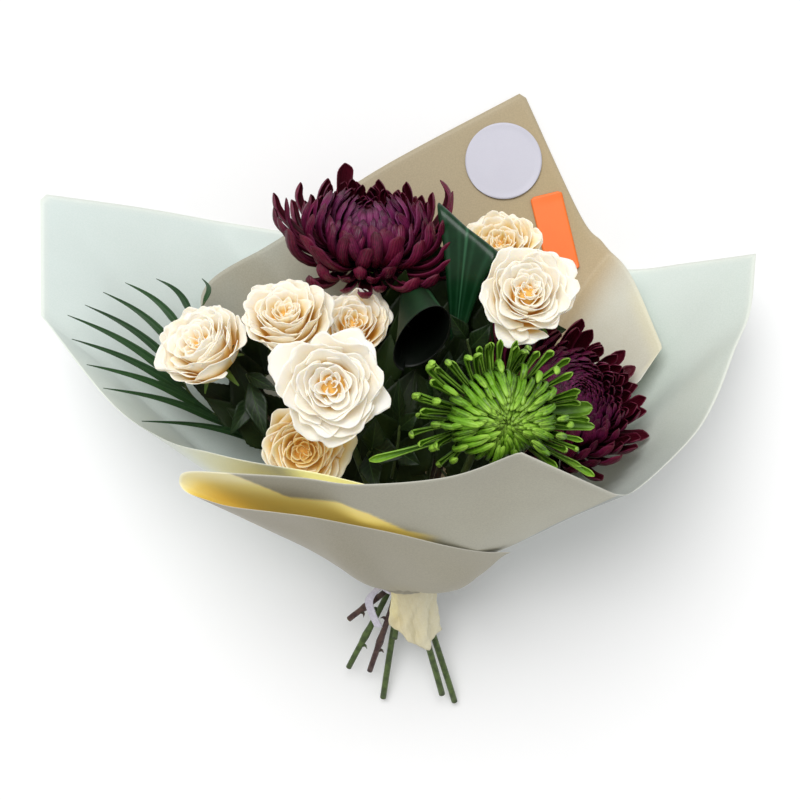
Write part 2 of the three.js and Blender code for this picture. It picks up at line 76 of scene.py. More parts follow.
def smooth(x, low=0.0, high=1.0):
    x = np.clip((np.asarray(x, float) - low) / (high - low), 0, 1)
    return x * x * (3 - 2 * x)


def mix(a, b, x):
    return a + (b - a) * x


# A smooth line through rows of numbers, where runs from 0 to 1 over the whole list. Its corners are sharp.
def through(rows, where, corners=()):
    rows = np.asarray(rows, float)
    where = np.clip(np.asarray(where, float), 0, 1) * (len(rows) - 1)
    i = np.minimum(where.astype(int), len(rows) - 2)
    f = (where - i)[..., None]
    more = np.vstack([2 * rows[0] - rows[1], rows, 2 * rows[-1] - rows[-2]])
    a, b, c, d = more[i], more[i + 1], more[i + 2], more[i + 3]
    a = np.where(np.isin(i, corners)[..., None], 2 * b - c, a)
    d = np.where(np.isin(i + 1, corners)[..., None], 2 * c - b, d)
    return b + 0.5 * f * (c - a + f * (2 * a - 5 * b + 4 * c - d + f * (3 * (b - c) + d - a)))


def unit(v):
    return v / np.maximum(np.linalg.norm(v, axis=-1, keepdims=True), 1e-9)


# A strip along its middle line: x along its side, and y along its own upright.
def stripGrid(middle, side, x, y):
    side = unit(np.array(side, float))
    lift = np.cross(side, unit(np.gradient(middle, axis=0)))
    return middle[:, None] + x[..., None] * side + y[..., None] * lift[:, None]


# Soft waves that repeat nowhere on a piece, from -1 to 1.
def drift(x, y, seed):
    wave = np.sin(x * 1.7 + seed) * np.cos(y * 1.3 - seed * 1.7)
    wave = wave + 0.6 * np.sin(x * 2.9 - y * 2.3 + seed * 2.9)
    return (wave + 0.4 * np.cos(x * 4.7 + y * 3.9 + seed * 4.1)) / 2


# Points and faces are gathered in a heap, which becomes one piece. Each point also has a place: how far
# along its petal or leaf, how far across, a draw of its own, and how far out on the head. On film it is how
# much painted glow it has, how far across, how deep the glow's yellow is, and how strong the painted rim
# highlight is.
def newHeap():
    return {"points": [], "faces": [], "place": [], "paint": [], "count": 0}


def addGrid(heap, grid, place, loop=False, capped=False, paint=0):
    rows, columns = grid.shape[:2]
    index = np.arange(rows * columns).reshape(rows, columns) + heap["count"]
    left = index if loop else index[:, :-1]
    right = np.roll(index, -1, axis=1) if loop else index[:, 1:]
    quads = np.stack([left[:-1], right[:-1], right[1:], left[1:]], -1)
    heap["faces"] += quads.reshape(-1, 4).tolist()
    if capped:
        heap["faces"] += [index[0][::-1].tolist(), index[-1].tolist()]
    heap["paint"] += [paint] * (len(heap["faces"]) - len(heap["paint"]))
    heap["points"].append(grid.reshape(-1, 3))
    heap["place"].append(np.broadcast_to(place, (rows, columns, 4)).reshape(-1, 4))
    heap["count"] += rows * columns


def joinPlace(*values):
    return np.stack(np.broadcast_arrays(*values), -1)


def placeGrid(s, t, draw=0.0, out=0.0):
    return joinPlace(s[:, None], t[None] * 0.5 + 0.5, draw, out)


def addObject(name, data):
    added = bpy.data.objects.new(name, data)
    bpy.context.collection.objects.link(added)
    return added


# One visible piece, which takes the place of a node of the CAD model if it names one. Its last material is
# that of its other side and its edges.
def makePiece(name, heap, materials, node=None, thickness=None):
    points = np.concatenate(heap["points"]) * mm
    mesh = bpy.data.meshes.new(name)
    mesh.from_pydata(points.tolist(), [], heap["faces"])
    layer = mesh.color_attributes.new("place", "FLOAT_COLOR", "POINT")
    layer.data.foreach_set("color", np.concatenate(heap["place"]).astype(np.float32).ravel())
    for material in materials:
        mesh.materials.append(material)
    mesh.polygons.foreach_set("material_index", heap["paint"])
    mesh.polygons.foreach_set("use_smooth", [True] * len(mesh.polygons))
    piece = addObject(name, mesh)
    if thickness:
        shell = piece.modifiers.new("thickness", "SOLIDIFY")
        shell.thickness = thickness * mm
        shell.offset = 0.0
        shell.use_even_offset = False
        shell.material_offset = len(materials) - 1
        shell.material_offset_rim = len(materials) - 1
    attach(piece, "root")
    if node:
        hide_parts(node)
    return piece


def gridPiece(name, grid, place, materials, node, thickness):
    heap = newHeap()
    addGrid(heap, grid, place)
    return makePiece(name, heap, materials, node, thickness)


# Node materials
def srgb(r, g, b):
    values = [x / 255 for x in (r, g, b)]
    return tuple(x / 12.92 if x <= 0.04045 else ((x + 0.055) / 1.055) ** 2.4 for x in values) + (1.0,)


# A principled material, its nodes and short ways to add to them.
class Finish:
    def __init__(self, name, **sockets):
        self.material = bpy.data.materials.new(name)
        self.material.use_nodes = True
        self.tree = self.material.node_tree
        self.shader = self.tree.nodes["Principled BSDF"]
        for socket, value in sockets.items():
            self.shader.inputs[socket.replace("_", " ")].default_value = value

    def node(self, kind, inputs=None, **settings):
        made = self.tree.nodes.new("ShaderNode" + kind)
        for key, value in settings.items():
            setattr(made, key, value)
        for key, value in (inputs or {}).items():
            self.put(value, made.inputs[key])
        return made

    def put(self, value, socket):
        if isinstance(value, bpy.types.NodeSocket):
            self.tree.links.new(value, socket)
        else:
            socket.default_value = value

    def place(self):
        found = self.node("Attribute", attribute_name="place", attribute_type="GEOMETRY")
        parts = self.node("SeparateColor", {"Color": found.outputs["Color"]})
        return parts.outputs[0], parts.outputs[1], parts.outputs[2], found.outputs["Alpha"]

    def sums(self, operation, a, b=0.0, c=0.0):
        return self.node("Math", {0: a, 1: b, 2: c}, operation=operation).outputs[0]

    def times(self, a, b):
        return self.sums("MULTIPLY", a, b)

    # a times b, plus c
    def timesPlus(self, a, b, c):
        return self.sums("MULTIPLY_ADD", a, b, c)

    def ribs(self, value, count):
        return self.sums("SINE", self.times(value, count))

    # From 0 along the middle of a petal or leaf to 1 at its two edges, where t runs from 0 to 1 across it.
    def fromMiddle(self, t):
        return self.sums("ABSOLUTE", self.timesPlus(t, 2.0, -1.0))

    def noise(self, scale, detail=4.0, stretch=None):
        where = self.node("TexCoord").outputs["Object"]
        if stretch:
            where = self.node("Mapping", {"Vector": where, "Scale": stretch}).outputs[0]
        inputs = {"Vector": where, "Scale": scale, "Detail": detail, "Roughness": 0.55}
        return self.node("TexNoise", inputs).outputs["Fac"]

    # Each stop is a position and then a grey, or red, green and blue.
    def ramp(self, factor, stops):
        made = self.node("ValToRGB", {"Fac": factor})
        made.color_ramp.interpolation = "EASE"
        points = made.color_ramp.elements
        while len(points) < len(stops):
            points.new(0.5)
        for point, (position, *colour) in zip(points, stops):
            point.position = position
            point.color = srgb(*colour) if len(colour) == 3 else colour * 3 + [1.0]
        return made.outputs["Color"]

    def blend(self, factor, a, b, kind="MIX"):
        made = self.node("Mix", data_type="RGBA", blend_type=kind)
        self.put(factor, made.inputs[0])
        self.put(a, made.inputs[6])
        self.put(b, made.inputs[7])
        return made.outputs[2]

    def colour(self, value):
        self.put(value, self.shader.inputs["Base Color"])

    def rough(self, factor, low, high):
        spread = self.node("MapRange", {"Value": factor, "To Min": low, "To Max": high})
        self.put(spread.outputs[0], self.shader.inputs["Roughness"])

    def bump(self, height, distance, strength=1.0):
        made = self.node("Bump", {"Height": height, "Distance": distance * mm, "Strength": strength})
        self.put(made.outputs[0], self.shader.inputs["Normal"])


# Film has its colours across it, from its first rib to its last, and blotches of a deeper one. Those colours
# hold painted shade and painted warm light, so the sheets are lit and shaded copies of one cream film. It
# glows
# where light shines through it: a painted yellow glow that also shines as emission. Its rim has a painted
# pale highlight.
def filmFinish(name, across, deep, glow, light=0.0):
    film = Finish(name, Specular_IOR_Level=0.35, Emission_Strength=light)
    glowing, where, depth, rim = film.place()
    cloud = film.ramp(film.noise(9, 3), [(0.3, 0.0), (0.7, 1.0)])
    colour = film.blend(film.times(cloud, 0.35), film.ramp(where, across), srgb(*deep))
    warm = film.ramp(depth, glow)
    colour = film.blend(glowing, colour, warm)
    # The glow also shines as emission in its own colour: painted light through the film.
    film.put(film.blend(glowing, srgb(0, 0, 0), warm), film.shader.inputs["Emission Color"])
    # A painted pale highlight along the rim.
    colour = film.blend(film.times(rim, 0.55), colour, srgb(244, 244, 232))
    speck = film.noise(900, 2)
    film.colour(film.blend(0.06, colour, film.ramp(speck, [(0.3, 0.0), (0.7, 1.0)]), "OVERLAY"))
    film.rough(speck, 0.42, 0.56)
    creases = film.timesPlus(film.noise(26, 2), 12.0, speck)
    film.bump(creases, 0.05, 0.6)
    return film.material


# The outer sheet's darker ends are painted shade, where the film turns from the light and lies under leaves.
outerFilm = filmFinish(
    "outer_film",
    [(0.0, 200, 198, 186), (0.2, 230, 236, 224), (0.32, 221, 233, 229), (0.6, 219, 230, 224),
     (0.82, 200, 208, 198), (1.0, 168, 172, 168)],
    (208, 218, 212), [(0.0, 255, 252, 172), (1.0, 255, 238, 112)], 0.4)
# The inner sheet's greyer left and warmer middle are painted shade and painted warm light on the cream film.
innerFilm = filmFinish(
    "inner_film",
    [(0.0, 166, 171, 162), (0.2, 166, 167, 153), (0.36, 172, 158, 128), (0.52, 182, 162, 124),
     (0.68, 192, 172, 136), (0.8, 214, 215, 201), (1.0, 218, 221, 209)],
    (174, 159, 130), [(0.0, 236, 230, 190), (1.0, 236, 226, 170)])
# Yellow of the painted glow, light bouncing in the front sheet's pocket and on the collar.
paintedGlowYellow = [(0.0, 255, 244, 190), (0.4, 255, 236, 150), (1.0, 255, 228, 122)]
# The front sheet's darker colours are painted shade: it faces away from the light.
frontFilm = filmFinish(
    "front_film", [(0.0, 194, 192, 174), (0.35, 178, 174, 155), (0.5, 166, 159, 141), (1.0, 177, 172, 152)],
    (165, 158, 140), paintedGlowYellow, 0.09)
collarFilm = filmFinish(
    "collar_film", [(0.0, 234, 229, 202), (1.0, 228, 216, 176)], (220, 209, 172), paintedGlowYellow)


# Petals have their colours from foot to tip, pale edges and fine ribs. Their dark feet are painted shade
# where the petals crowd together. The outermost ones can differ.
def petalFinish(name, stops, edge, streaks=16.0, contrast=0.55, outer=None):
    petal = Finish(name, Specular_IOR_Level=0.4)
    s, t, draw, out = petal.place()
    rim = petal.ramp(petal.fromMiddle(t), [(0.72, 0.0), (1.0, 1.0)])
    # The stops darken towards the foot: painted shade between crowded petals.
    colour = petal.blend(petal.times(rim, 0.55), petal.ramp(s, stops), srgb(*edge))
    ribs = petal.ribs(t, streaks * 3.1416)
    fleck = petal.noise(420, 3)
    tone = petal.timesPlus(ribs, 0.16, petal.timesPlus(draw, 0.5, fleck))
    grey = petal.ramp(tone, [(0.25, 0.2), (1.0, 0.78)])
    if outer:
        colour = petal.blend(petal.ramp(out, [(0.5, 0.0), (1.0, 0.75)]), colour, srgb(*outer))
    petal.colour(petal.blend(contrast, colour, grey, "OVERLAY"))
    petal.rough(fleck, 0.34, 0.5)
    petal.bump(petal.timesPlus(fleck, 0.5, ribs), 0.12, 0.7)
    return petal.material


burgundyOutside = petalFinish(
    "burgundy_outside", [(0.0, 16, 1, 5), (0.42, 50, 4, 26), (0.8, 106, 28, 78), (1.0, 62, 6, 36)],
    (154, 88, 138), contrast=0.9, outer=(96, 9, 36))
burgundyInside = petalFinish(
    "burgundy_inside", [(0.0, 22, 1, 5), (0.6, 52, 3, 14), (1.0, 76, 7, 26)], (116, 36, 62))
greenOutside = petalFinish(
    "green_outside", [(0.0, 14, 34, 3), (0.5, 50, 88, 10), (0.82, 92, 138, 24), (1.0, 136, 176, 60)],
    (142, 182, 72), streaks=6, contrast=0.9)
greenInside = petalFinish(
    "green_inside", [(0.0, 24, 54, 5), (0.6, 82, 130, 22), (1.0, 120, 166, 46)], (146, 188, 70), streaks=6)


# Cream petals: white at the rim and warm in their depths, and warmer still where the rose is warmer. The warm
# depths are painted shade, light bouncing between the petals, and the petals glow faintly in their own
# colour, painted light that lifts the shade.
def creamFinish(name, pale, peach, yellow):
    pale, peach, yellow = srgb(*pale), srgb(*peach), srgb(*yellow)
    cream = Finish(name, Subsurface_Weight=0.3, Subsurface_Radius=(0.005, 0.003, 0.0015),
                   Subsurface_Scale=1.0, Emission_Strength=0.07)
    s, t, warmth, out = cream.place()
    heart = cream.timesPlus(out, -0.26, cream.timesPlus(warmth, 0.26, 0.86))
    depth = cream.sums("SUBTRACT", heart, s)
    # The depths take a painted warm shade, peach and then yellow, from light bouncing between the petals.
    deep = cream.ramp(depth, [(0.0, 0.0), (0.28, 1.0)])
    depthShade = cream.blend(cream.ramp(depth, [(0.1, 0.0), (0.5, 1.0)]), peach, yellow)
    fleck = cream.noise(420, 3)
    blush = cream.ramp(cream.noise(55, 3), [(0.45, 0.0), (0.8, 1.0)])
    ground = cream.blend(cream.times(cream.timesPlus(warmth, 0.35, 0.12), blush), pale, peach)
    ground = cream.blend(cream.times(warmth, 0.22), ground, peach)
    colour = cream.blend(deep, ground, depthShade)
    cream.colour(colour)
    # A faint glow in the petals' own colour: painted light that lifts their shade.
    cream.put(colour, cream.shader.inputs["Emission Color"])
    cream.rough(fleck, 0.45, 0.6)
    cream.bump(cream.timesPlus(fleck, 0.5, cream.ribs(t, 34.0)), 0.06, 0.7)
    return cream.material


creamOutside = creamFinish("cream_outside", (255, 252, 243), (246, 221, 162), (228, 182, 92))
creamInside = creamFinish("cream_inside", (255, 250, 238), (242, 209, 134), (218, 162, 60))
# The heart's cup is warmer: partly its own colour, partly painted shade deep in the rose.
roseHeart = creamFinish("rose_heart", (246, 220, 160), (240, 202, 128), (226, 176, 88))
print("made the film and petal finishes")


# Leaves have a middle vein, and slanting ones where veins says how many.
def leafFinish(name, dark, light, vein, roughness, veins=0.0, coat=0.0):
    leaf = Finish(name, Coat_Weight=coat, Coat_Roughness=0.2, Specular_IOR_Level=0.25)
    s, t, draw = leaf.place()[:3]
    side = leaf.fromMiddle(t)
    fleck = leaf.noise(160, 4)
    tone = leaf.timesPlus(draw, 0.5, leaf.times(fleck, 0.6))
    slant = leaf.timesPlus(side, -2.0, leaf.times(s, veins))
    ribs = leaf.sums("POWER", leaf.sums("ABSOLUTE", leaf.ribs(slant, 3.1416)), 8.0)
    middle = leaf.ramp(side, [(0.0, 1.0), (0.09, 0.0)])
    lines = leaf.sums("MAXIMUM", leaf.times(ribs, 0.25), middle)
    leaf.colour(leaf.blend(lines, leaf.blend(tone, srgb(*dark), srgb(*light)), srgb(*vein)))
    leaf.rough(fleck, *roughness)
    leaf.bump(leaf.timesPlus(fleck, 0.6, leaf.times(lines, -1.0)), 0.25, 0.6)
    return leaf.material


waxyLeaf = leafFinish("waxy_leaf", (3, 26, 10), (14, 58, 28), (50, 96, 66), (0.24, 0.38), coat=0.15)
waxyRoll = leafFinish("waxy_roll", (3, 22, 8), (14, 50, 20), (40, 84, 50), (0.55, 0.7))
# A near-black copy of the waxy leaf for the inside and edges of the rolled leaf: painted shade in the tube.
waxyShade = leafFinish("waxy_shade", (2, 5, 2), (5, 11, 5), (8, 18, 8), (0.4, 0.6))
palmLeaf = leafFinish("palm_leaf", (22, 46, 26), (48, 84, 44), (70, 104, 66), (0.35, 0.5))
roseLeaf = leafFinish("rose_leaf", (5, 16, 5), (26, 48, 16), (50, 74, 34), (0.35, 0.5), 7.0)
# A darker copy of the rose leaf for leaves deep in the bunch: partly their own dark green, partly painted
# shade.
shadedDeepLeaf = leafFinish("deep_leaf", (1, 6, 1), (34, 52, 14), (30, 46, 16), (0.45, 0.6), 7.0)
calyxGreen = leafFinish("calyx_green", (70, 98, 40), (104, 134, 58), (126, 152, 84), (0.4, 0.55), 5.0)


def stemFinish(name, low, high, blush):
    stem = Finish(name)
    streak = stem.noise(60, 5, (3.0, 3.0, 0.6))
    colour = stem.blend(stem.place()[0], srgb(*low), srgb(*high))
    stem.colour(stem.blend(stem.ramp(streak, [(0.42, 0.0), (0.62, 1.0)]), colour, srgb(*blush)))
    stem.rough(streak, 0.4, 0.6)
    stem.bump(streak, 0.3, 0.6)
    return stem.material


greenStem = stemFinish("green_stem", (48, 66, 30), (86, 106, 52), (62, 78, 38))
brownStem = stemFinish("brown_stem", (50, 54, 34), (86, 60, 50), (58, 34, 32))
cutEnd = stemFinish("cut_end", (170, 170, 116), (190, 188, 136), (134, 130, 80))


def paperFinish(name, pale, deep, rough):
    paper = Finish(name)
    fibre = paper.noise(700, 6, (1.0, 2.2, 1.0))
    tone = paper.timesPlus(fibre, 0.5, paper.times(paper.noise(40, 3), 0.5))
    paper.colour(paper.blend(tone, srgb(*deep), srgb(*pale)))
    paper.rough(fibre, *rough)
    paper.bump(fibre, 0.05, 0.5)
    return paper.material


stickerPaper = paperFinish("sticker_paper", (212, 211, 222), (196, 195, 208), (0.4, 0.55))
labelPaper = paperFinish("label_paper", (255, 132, 52), (254, 112, 30), (0.4, 0.5))
rubber = paperFinish("rubber", (190, 168, 118), (168, 146, 98), (0.5, 0.65))


def satinFinish(name, pale, deep):
    cloth = Finish(name, Sheen_Weight=0.4, Sheen_Roughness=0.4)
    weft = cloth.noise(500, 2)
    tone = cloth.timesPlus(cloth.ribs(cloth.place()[1], 160.0), 0.25, weft)
    cloth.colour(cloth.blend(cloth.ramp(tone, [(0.2, 0.0), (0.8, 1.0)]), srgb(*deep), srgb(*pale)))
    cloth.rough(weft, 0.32, 0.5)
    cloth.bump(tone, 0.06, 0.6)
    return cloth.material


satin = satinFinish("satin", (226, 222, 232), (196, 190, 206))
print("made the leaf, stem, paper and ribbon finishes")

# The camera stands where the photograph was taken from, straight above the bunch.
view = {"height": 1.1, "lens": 64, "sensor": 36}
studio = {
    "world": (1, 1, 1, 1), "worldStrength": 0.5,
    "floor": srgb(250, 250, 250), "floorBlotch": srgb(252, 252, 252), "floorHeight": -0.0004, "floorReach": 4,
    "sunFrom": (-0.3, 0.85, 1.6), "sunStrength": 2.1, "sunAngle": 40,
}


def makeStudio():
    camera = addObject("camera", bpy.data.cameras.new("camera"))
    camera.data.lens = view["lens"]
    camera.data.sensor_width = view["sensor"]
    camera.location = (0, 0, view["height"])
    bpy.context.scene.camera = camera
    lamp = addObject("key", bpy.data.lights.new("key", "SUN"))
    lamp.data.energy = studio["sunStrength"]
    lamp.data.angle = math.radians(studio["sunAngle"])
    lamp.location = studio["sunFrom"]
    lamp.rotation_euler = Vector(studio["sunFrom"]).to_track_quat("Z", "Y").to_euler()
    world = bpy.data.worlds.new("studio")
    world.use_nodes = True
    background = world.node_tree.nodes["Background"]
    background.inputs[0].default_value = studio["world"]
    background.inputs[1].default_value = studio["worldStrength"]
    bpy.context.scene.world = world
    bpy.context.scene.view_settings.view_transform = "Standard"
    mesh = bpy.data.meshes.new("floor")
    reach = studio["floorReach"]
    corners = [(x * reach, y * reach, studio["floorHeight"]) for x, y in ((-1, -1), (1, -1), (1, 1), (-1, 1))]
    mesh.from_pydata(corners, [], [(0, 1, 2, 3)])
    paint = Finish("floor_paint", Roughness=0.8)
    paint.colour(paint.blend(paint.noise(3), studio["floor"], studio["floorBlotch"]))
    mesh.materials.append(paint.material)
    addObject("floor", mesh)


makeStudio()
print("set up the studio")

# Sheets of the wrapper. Each rib runs from the binding to the rim: its turn at the binding, the rim's x, y
# and z, its sag, and what it adds to the radius at the binding. A rib bows outwards by its sag, and never
# goes below the sheet's floor.
sheetShape = {
    "ringRise": 2, "skirtRows": 5, "rowSpacing": 1.15, "bowScale": 6.75, "thickness": 0.15,
    "pleatDepth": 0.9, "pleatReach": 0.3, "pleatFade": 2.2, "pleatWander": 2.5, "swell": 1.6, "flatRim": 0.7,
}
outerSheet = {
    "floor": 0.05, "columns": 190, "rows": 84, "pleats": 23, "seed": 1.3, "radius": bunch["outerRadius"],
    "skirt": bunch["gatherDepth"], "corners": (6, 7, 14), "rimHighlight": 1.0,
    "ribs": [
        [100, -22, -52, 219, 1], [112, -53, -45, 217, 1], [128, -93, -38.7, 211, 1],
        [143, -120, -33, 203, 2], [158, -151, -25, 190, 6], [175, -192, -1, 160, 14],
        [192, -250, 59, 110, 24], [212, -263, 151, 60, 30], [230, -188, 145, 18, 34],
        [246, -100, 132, -14, 36], [263, 0, 116, -16, 37], [279, 93, 107, -14, 38], [296, 173, 101, -4, 36],
        [312, 217, 103, 33, 34], [326, 258, 106, 70, 32], [338, 249, 64, 90, 30], [348, 232, 35, 115, 28],
        [357, 213, 0, 140, 24], [6, 191, -26, 165, 16], [16, 152, -58, 184, 6], [24, 134, -60, 189, -2],
    ],
}
innerSheet = {
    "floor": 2.3, "columns": 120, "rows": 84, "pleats": 17, "seed": 4.1, "radius": bunch["innerRadius"],
    "skirt": bunch["gatherDepth"], "corners": (4, 8), "rimHighlight": 0.2,
    "ribs": [
        [205, -128, 24, 66, 14], [222, -147, 83, 34, 20], [240, -85, 130, -10, 26], [256, -19, 177, -12, 28],
        [272, 95, 238, -14, 28], [286, 139, 143, -10, 28], [298, 157, 121, -4, 28], [312, 174, 96, 22, 26],
        [330, 189, 38, 78, 22], [342, 172, 14, 82, 18],
    ],
}
# The front sheet turns back on itself at the left, so that its end lies over the front as an open pocket.
frontSheet = {
    "floor": 2.3, "columns": 200, "rows": 84, "pleats": 19, "seed": 7.7, "radius": bunch["frontRadius"],
    "skirt": 1, "corners": (2,), "rimHighlight": 1.0,
    "ribs": [
        [12, 137, -60, 206, 5], [28, 110, -48, 234, 10], [50, 72, -31, 254, 18], [72, 30, -46, 246, 11],
        [95, -24, -51, 240, 5], [116, -61, -47, 234, 4], [138, -101, -45, 225, 2], [160, -133, -45, 207, 1],
        [172, -140, -51, 199, 1, 0.8], [168, -136, -58, 198, 2, 1.7], [154, -122, -63, 203, 1, 1.9],
        [140, -106, -67, 208, 2, 1.9], [126, -79, -70, 213, 8, 1.9], [112, -55, -73, 214, 14, 1.9],
        [98, -28.7, -79.8, 194, 8, 1.9], [84, 0, -86.1, 188, 10, 1.9], [70, 30.6, -94.6, 174.5, 16, 1.9],
        [54, 54.8, -100.8, 153, 18, 1.9], [38, 76, -104, 128, 12, 1.9],
    ],
    # where the layer under the turned-back end has a painted yellow glow: place across, its deepest line and
    # its top line
    "pocket": [
        [0.168, 0.576, 0.576], [0.196, 0.627, 0.627], [0.225, 0.666, 0.771], [0.252, 0.679, 0.838],
        [0.281, 0.679, 0.824], [0.308, 0.705, 0.824], [0.337, 0.718, 0.986], [0.365, 0.705, 1.1],
        [0.393, 0.718, 1.1], [0.421, 0.745, 1.1], [0.449, 0.784, 1.1], [0.477, 0.9, 1.1], [0.5, 0.93, 1.1],
    ],
}


# Grid of a sheet: rows from the binding to the rim, columns across its ribs.
def sheetGrid(sheet):
    ribs = np.array([(rib + [0.0])[:6] for rib in sheet["ribs"]], float)
    ribs[:, 0] = np.degrees(np.unwrap(np.radians(ribs[:, 0])))
    u = np.linspace(0, 1, sheet["columns"] + 1)
    turn, x, y, z, sag, extra = through(ribs, u, sheet["corners"]).T
    away = outward(turn)
    ring = binding + away * (sheet["radius"] + extra)[:, None]
    start = ring + sheetShape["ringRise"] * along
    rim = np.stack([x, y, z], -1)
    skirt = np.linspace(-sheet["skirt"], sheetShape["ringRise"], sheetShape["skirtRows"] + 1)[:-1]
    low = ring[None] + skirt[:, None, None] * along
    v = np.linspace(0, 1, sheet["rows"] + 1)[:, None, None] ** sheetShape["rowSpacing"]
    bow = sheetShape["bowScale"] * sag[None, :, None] * v * (1 - v) ** 2
    grid = np.concatenate([low, start[None] * (1 - v) + rim[None] * v + away[None] * bow])
    v = np.concatenate([np.zeros(len(skirt)), v[:, 0, 0]])
    fade = np.exp(-v / sheetShape["pleatReach"] * sheetShape["pleatFade"])
    depth = sheetShape["pleatDepth"] * fade * smooth(v, -0.01, 0.02)
    wander = sheetShape["pleatWander"] * drift(u * 9, v[:, None] * 2, sheet["seed"])
    pleat = np.sin(u[None] * sheet["pleats"] * 2 * math.pi + wander)
    height = sheetShape["swell"] * smooth(v, 0.1, 0.6)[:, None]
    swell = height * drift(u * 7, v[:, None] * 3, sheet["seed"] + 2)
    swell = swell * (1 - sheetShape["flatRim"] * smooth(v, 0.8, 1.0)[:, None])
    grid = grid + away[None] * (depth[:, None] * pleat + swell)[..., None]
    grid[..., 2] = np.maximum(grid[..., 2], sheet["floor"])
    return grid, u, v


def makeSheet(name, sheet, film, node, glow):
    grid, u, v = sheetGrid(sheet)
    v = v[:, None]
    glowing, depth = glow(u, v)
    # The last place is a painted pale highlight along the rim of the sheet.
    place = joinPlace(glowing, u, depth, sheet["rimHighlight"] * smooth(v, 0.982, 0.996))
    piece = gridPiece(name + "_wrap", grid, place, [film], node, sheetShape["thickness"])


# How much painted glow a sheet has at a place across it and along its ribs, and how deep its yellow is. The
# front sheet has a painted warm yellow glow inside its pocket, light bouncing between its layers, most of all
# where it is deep.
def pocketGlow(u, v):
    place, deepest, top = np.array(frontSheet["pocket"]).T
    low = np.interp(u, place, deepest)
    high = np.interp(u, place, top)
    inside = smooth(u, 0.16, 0.2) * (1 - smooth(u, 0.5, 0.53)) * (1 - smooth(v, high - 0.012, high + 0.012))
    return inside, 1 - smooth(v, low, np.minimum(low + 0.32, 1))


# The left end of the outer sheet has a painted yellow glow where it dips behind the front sheet: light
# shining through the film.
def endGlow(u, v):
    return (1 - smooth(u, 0.055, 0.085)) * smooth(v, 0.8, 0.86), 0.35 * (1 - smooth(u, 0.0, 0.05))


# The right lobe of the inner sheet has a painted pale yellow highlight along its edge.
def lobeGlow(u, v):
    return 0.4 * smooth(v, 0.93, 0.99) * smooth(u, 0.77, 0.83) * (1 - smooth(u, 0.93, 0.97)), 0.0


makeSheet("outer", outerSheet, outerFilm, "outer_sheet", endGlow)
makeSheet("inner", innerSheet, innerFilm, "inner_back_sheet", lobeGlow)
makeSheet("front", frontSheet, frontFilm, "front_sheet", pocketGlow)
print("made the three wrapping sheets")

# The stem collar: a short pleated sheet over the ribbon, in front of the stems.
collar = {
    "turns": (16, 118), "lengths": (48, 57, 45, 32), "top": 1, "radius": 22.1, "flare": (4, 2),
    "pleats": 3, "pleatDepth": 2.2, "crumple": 1.5,
}


def makeCollar():
    u = np.linspace(0, 1, 61)
    v = np.linspace(0, 1, 31)[:, None]
    length = through([[x] for x in collar["lengths"]], u)[:, 0]
    pleat = collar["pleatDepth"] * np.sin(v * 2) ** 2 * np.sin(2 * math.pi * collar["pleats"] * u + 1.5 * v)
    crumple = collar["crumple"] * smooth(v, 0.05, 0.3) * drift(u * 12, v * 7, 2.2)
    radius = collar["radius"] + mix(*collar["flare"], u) * v * v + pleat + crumple
    drop = v * length - collar["top"]
    away = outward(mix(*collar["turns"], u))
    grid = binding + away[None] * radius[..., None] - drop[..., None] * along
    # A painted yellow glow on one side of the collar near the binding: light bouncing between the film
    # layers.
    glowing = 0.7 * smooth(u, 0.84, 0.92) * (1 - smooth(v, 0.6, 0.9))
    piece = gridPiece("stem_collar_film", grid[::-1], joinPlace(glowing, u, 0.0, 0.0)[::-1], [collarFilm],
                      "stem_collar", sheetShape["thickness"])


# Flowers: base of the head, the way it faces, its size, a point where its stem bends inside the bunch,
# its turn round the binding, and the middle of its cut end.
flowers = {
    "chrysanthemum_top": ([-24, 101, 74], [0.05, 0.88, 0.47], 1, [-14, 10, 38], 250, [-13, -229, 5.5]),
    "chrysanthemum_right": ([107, -12, 107], [0.34, 0.48, 0.81], 0.94, [62, -62, 80], 10, [42, -232, 5]),
    "chrysanthemum_green": ([60, -12, 193], [0.12, -0.06, 0.99], 0.87, [42, -52, 140], 52, [32, -224, 17]),
    "rose_left": ([-127, 26, 112], [-0.4, 0.48, 0.78], 0.92, [-66, -46, 92], 170, [-38, -163, 42]),
    "rose_upper_left": ([-76, 43, 127], [-0.05, 0.58, 0.81], 0.88, [-46, -32, 80], 210, [-39, -203, 20]),
    "rose_behind": ([-34, 46, 86], [0.05, 0.35, 0.94], 0.78, [-20, -36, 72], 135, [-4, -178, 37]),
    "rose_front": ([-43, 8, 187], [0, 0.02, 1], 1, [-26, -48, 130], 90, [6, -174, 48]),
    "rose_low": ([-64, -32, 139], [0.02, -0.05, 1], 0.88, [-42, -72, 104], 130, [-23, -206, 17]),
    "rose_right": ([83, 64, 152], [0, 0.25, 0.97], 0.92, [46, 2, 98], 330, [17, -180, 28]),
    "rose_far_right": ([74, 98, 70], [-0.1, 0.5, 0.86], 0.85, [44, 10, 46], 290, [10, -182, 22]),
}


# A head's base, the way out of its face, its size, and the ways to the right and up over its face.
def headAxes(name):
    base, faces, scale = flowers[name][:3]
    out = unit(np.array(faces, float))
    right = unit(across - across.dot(out) * out)
    return np.array(base, float), out, scale, right, np.cross(out, right)


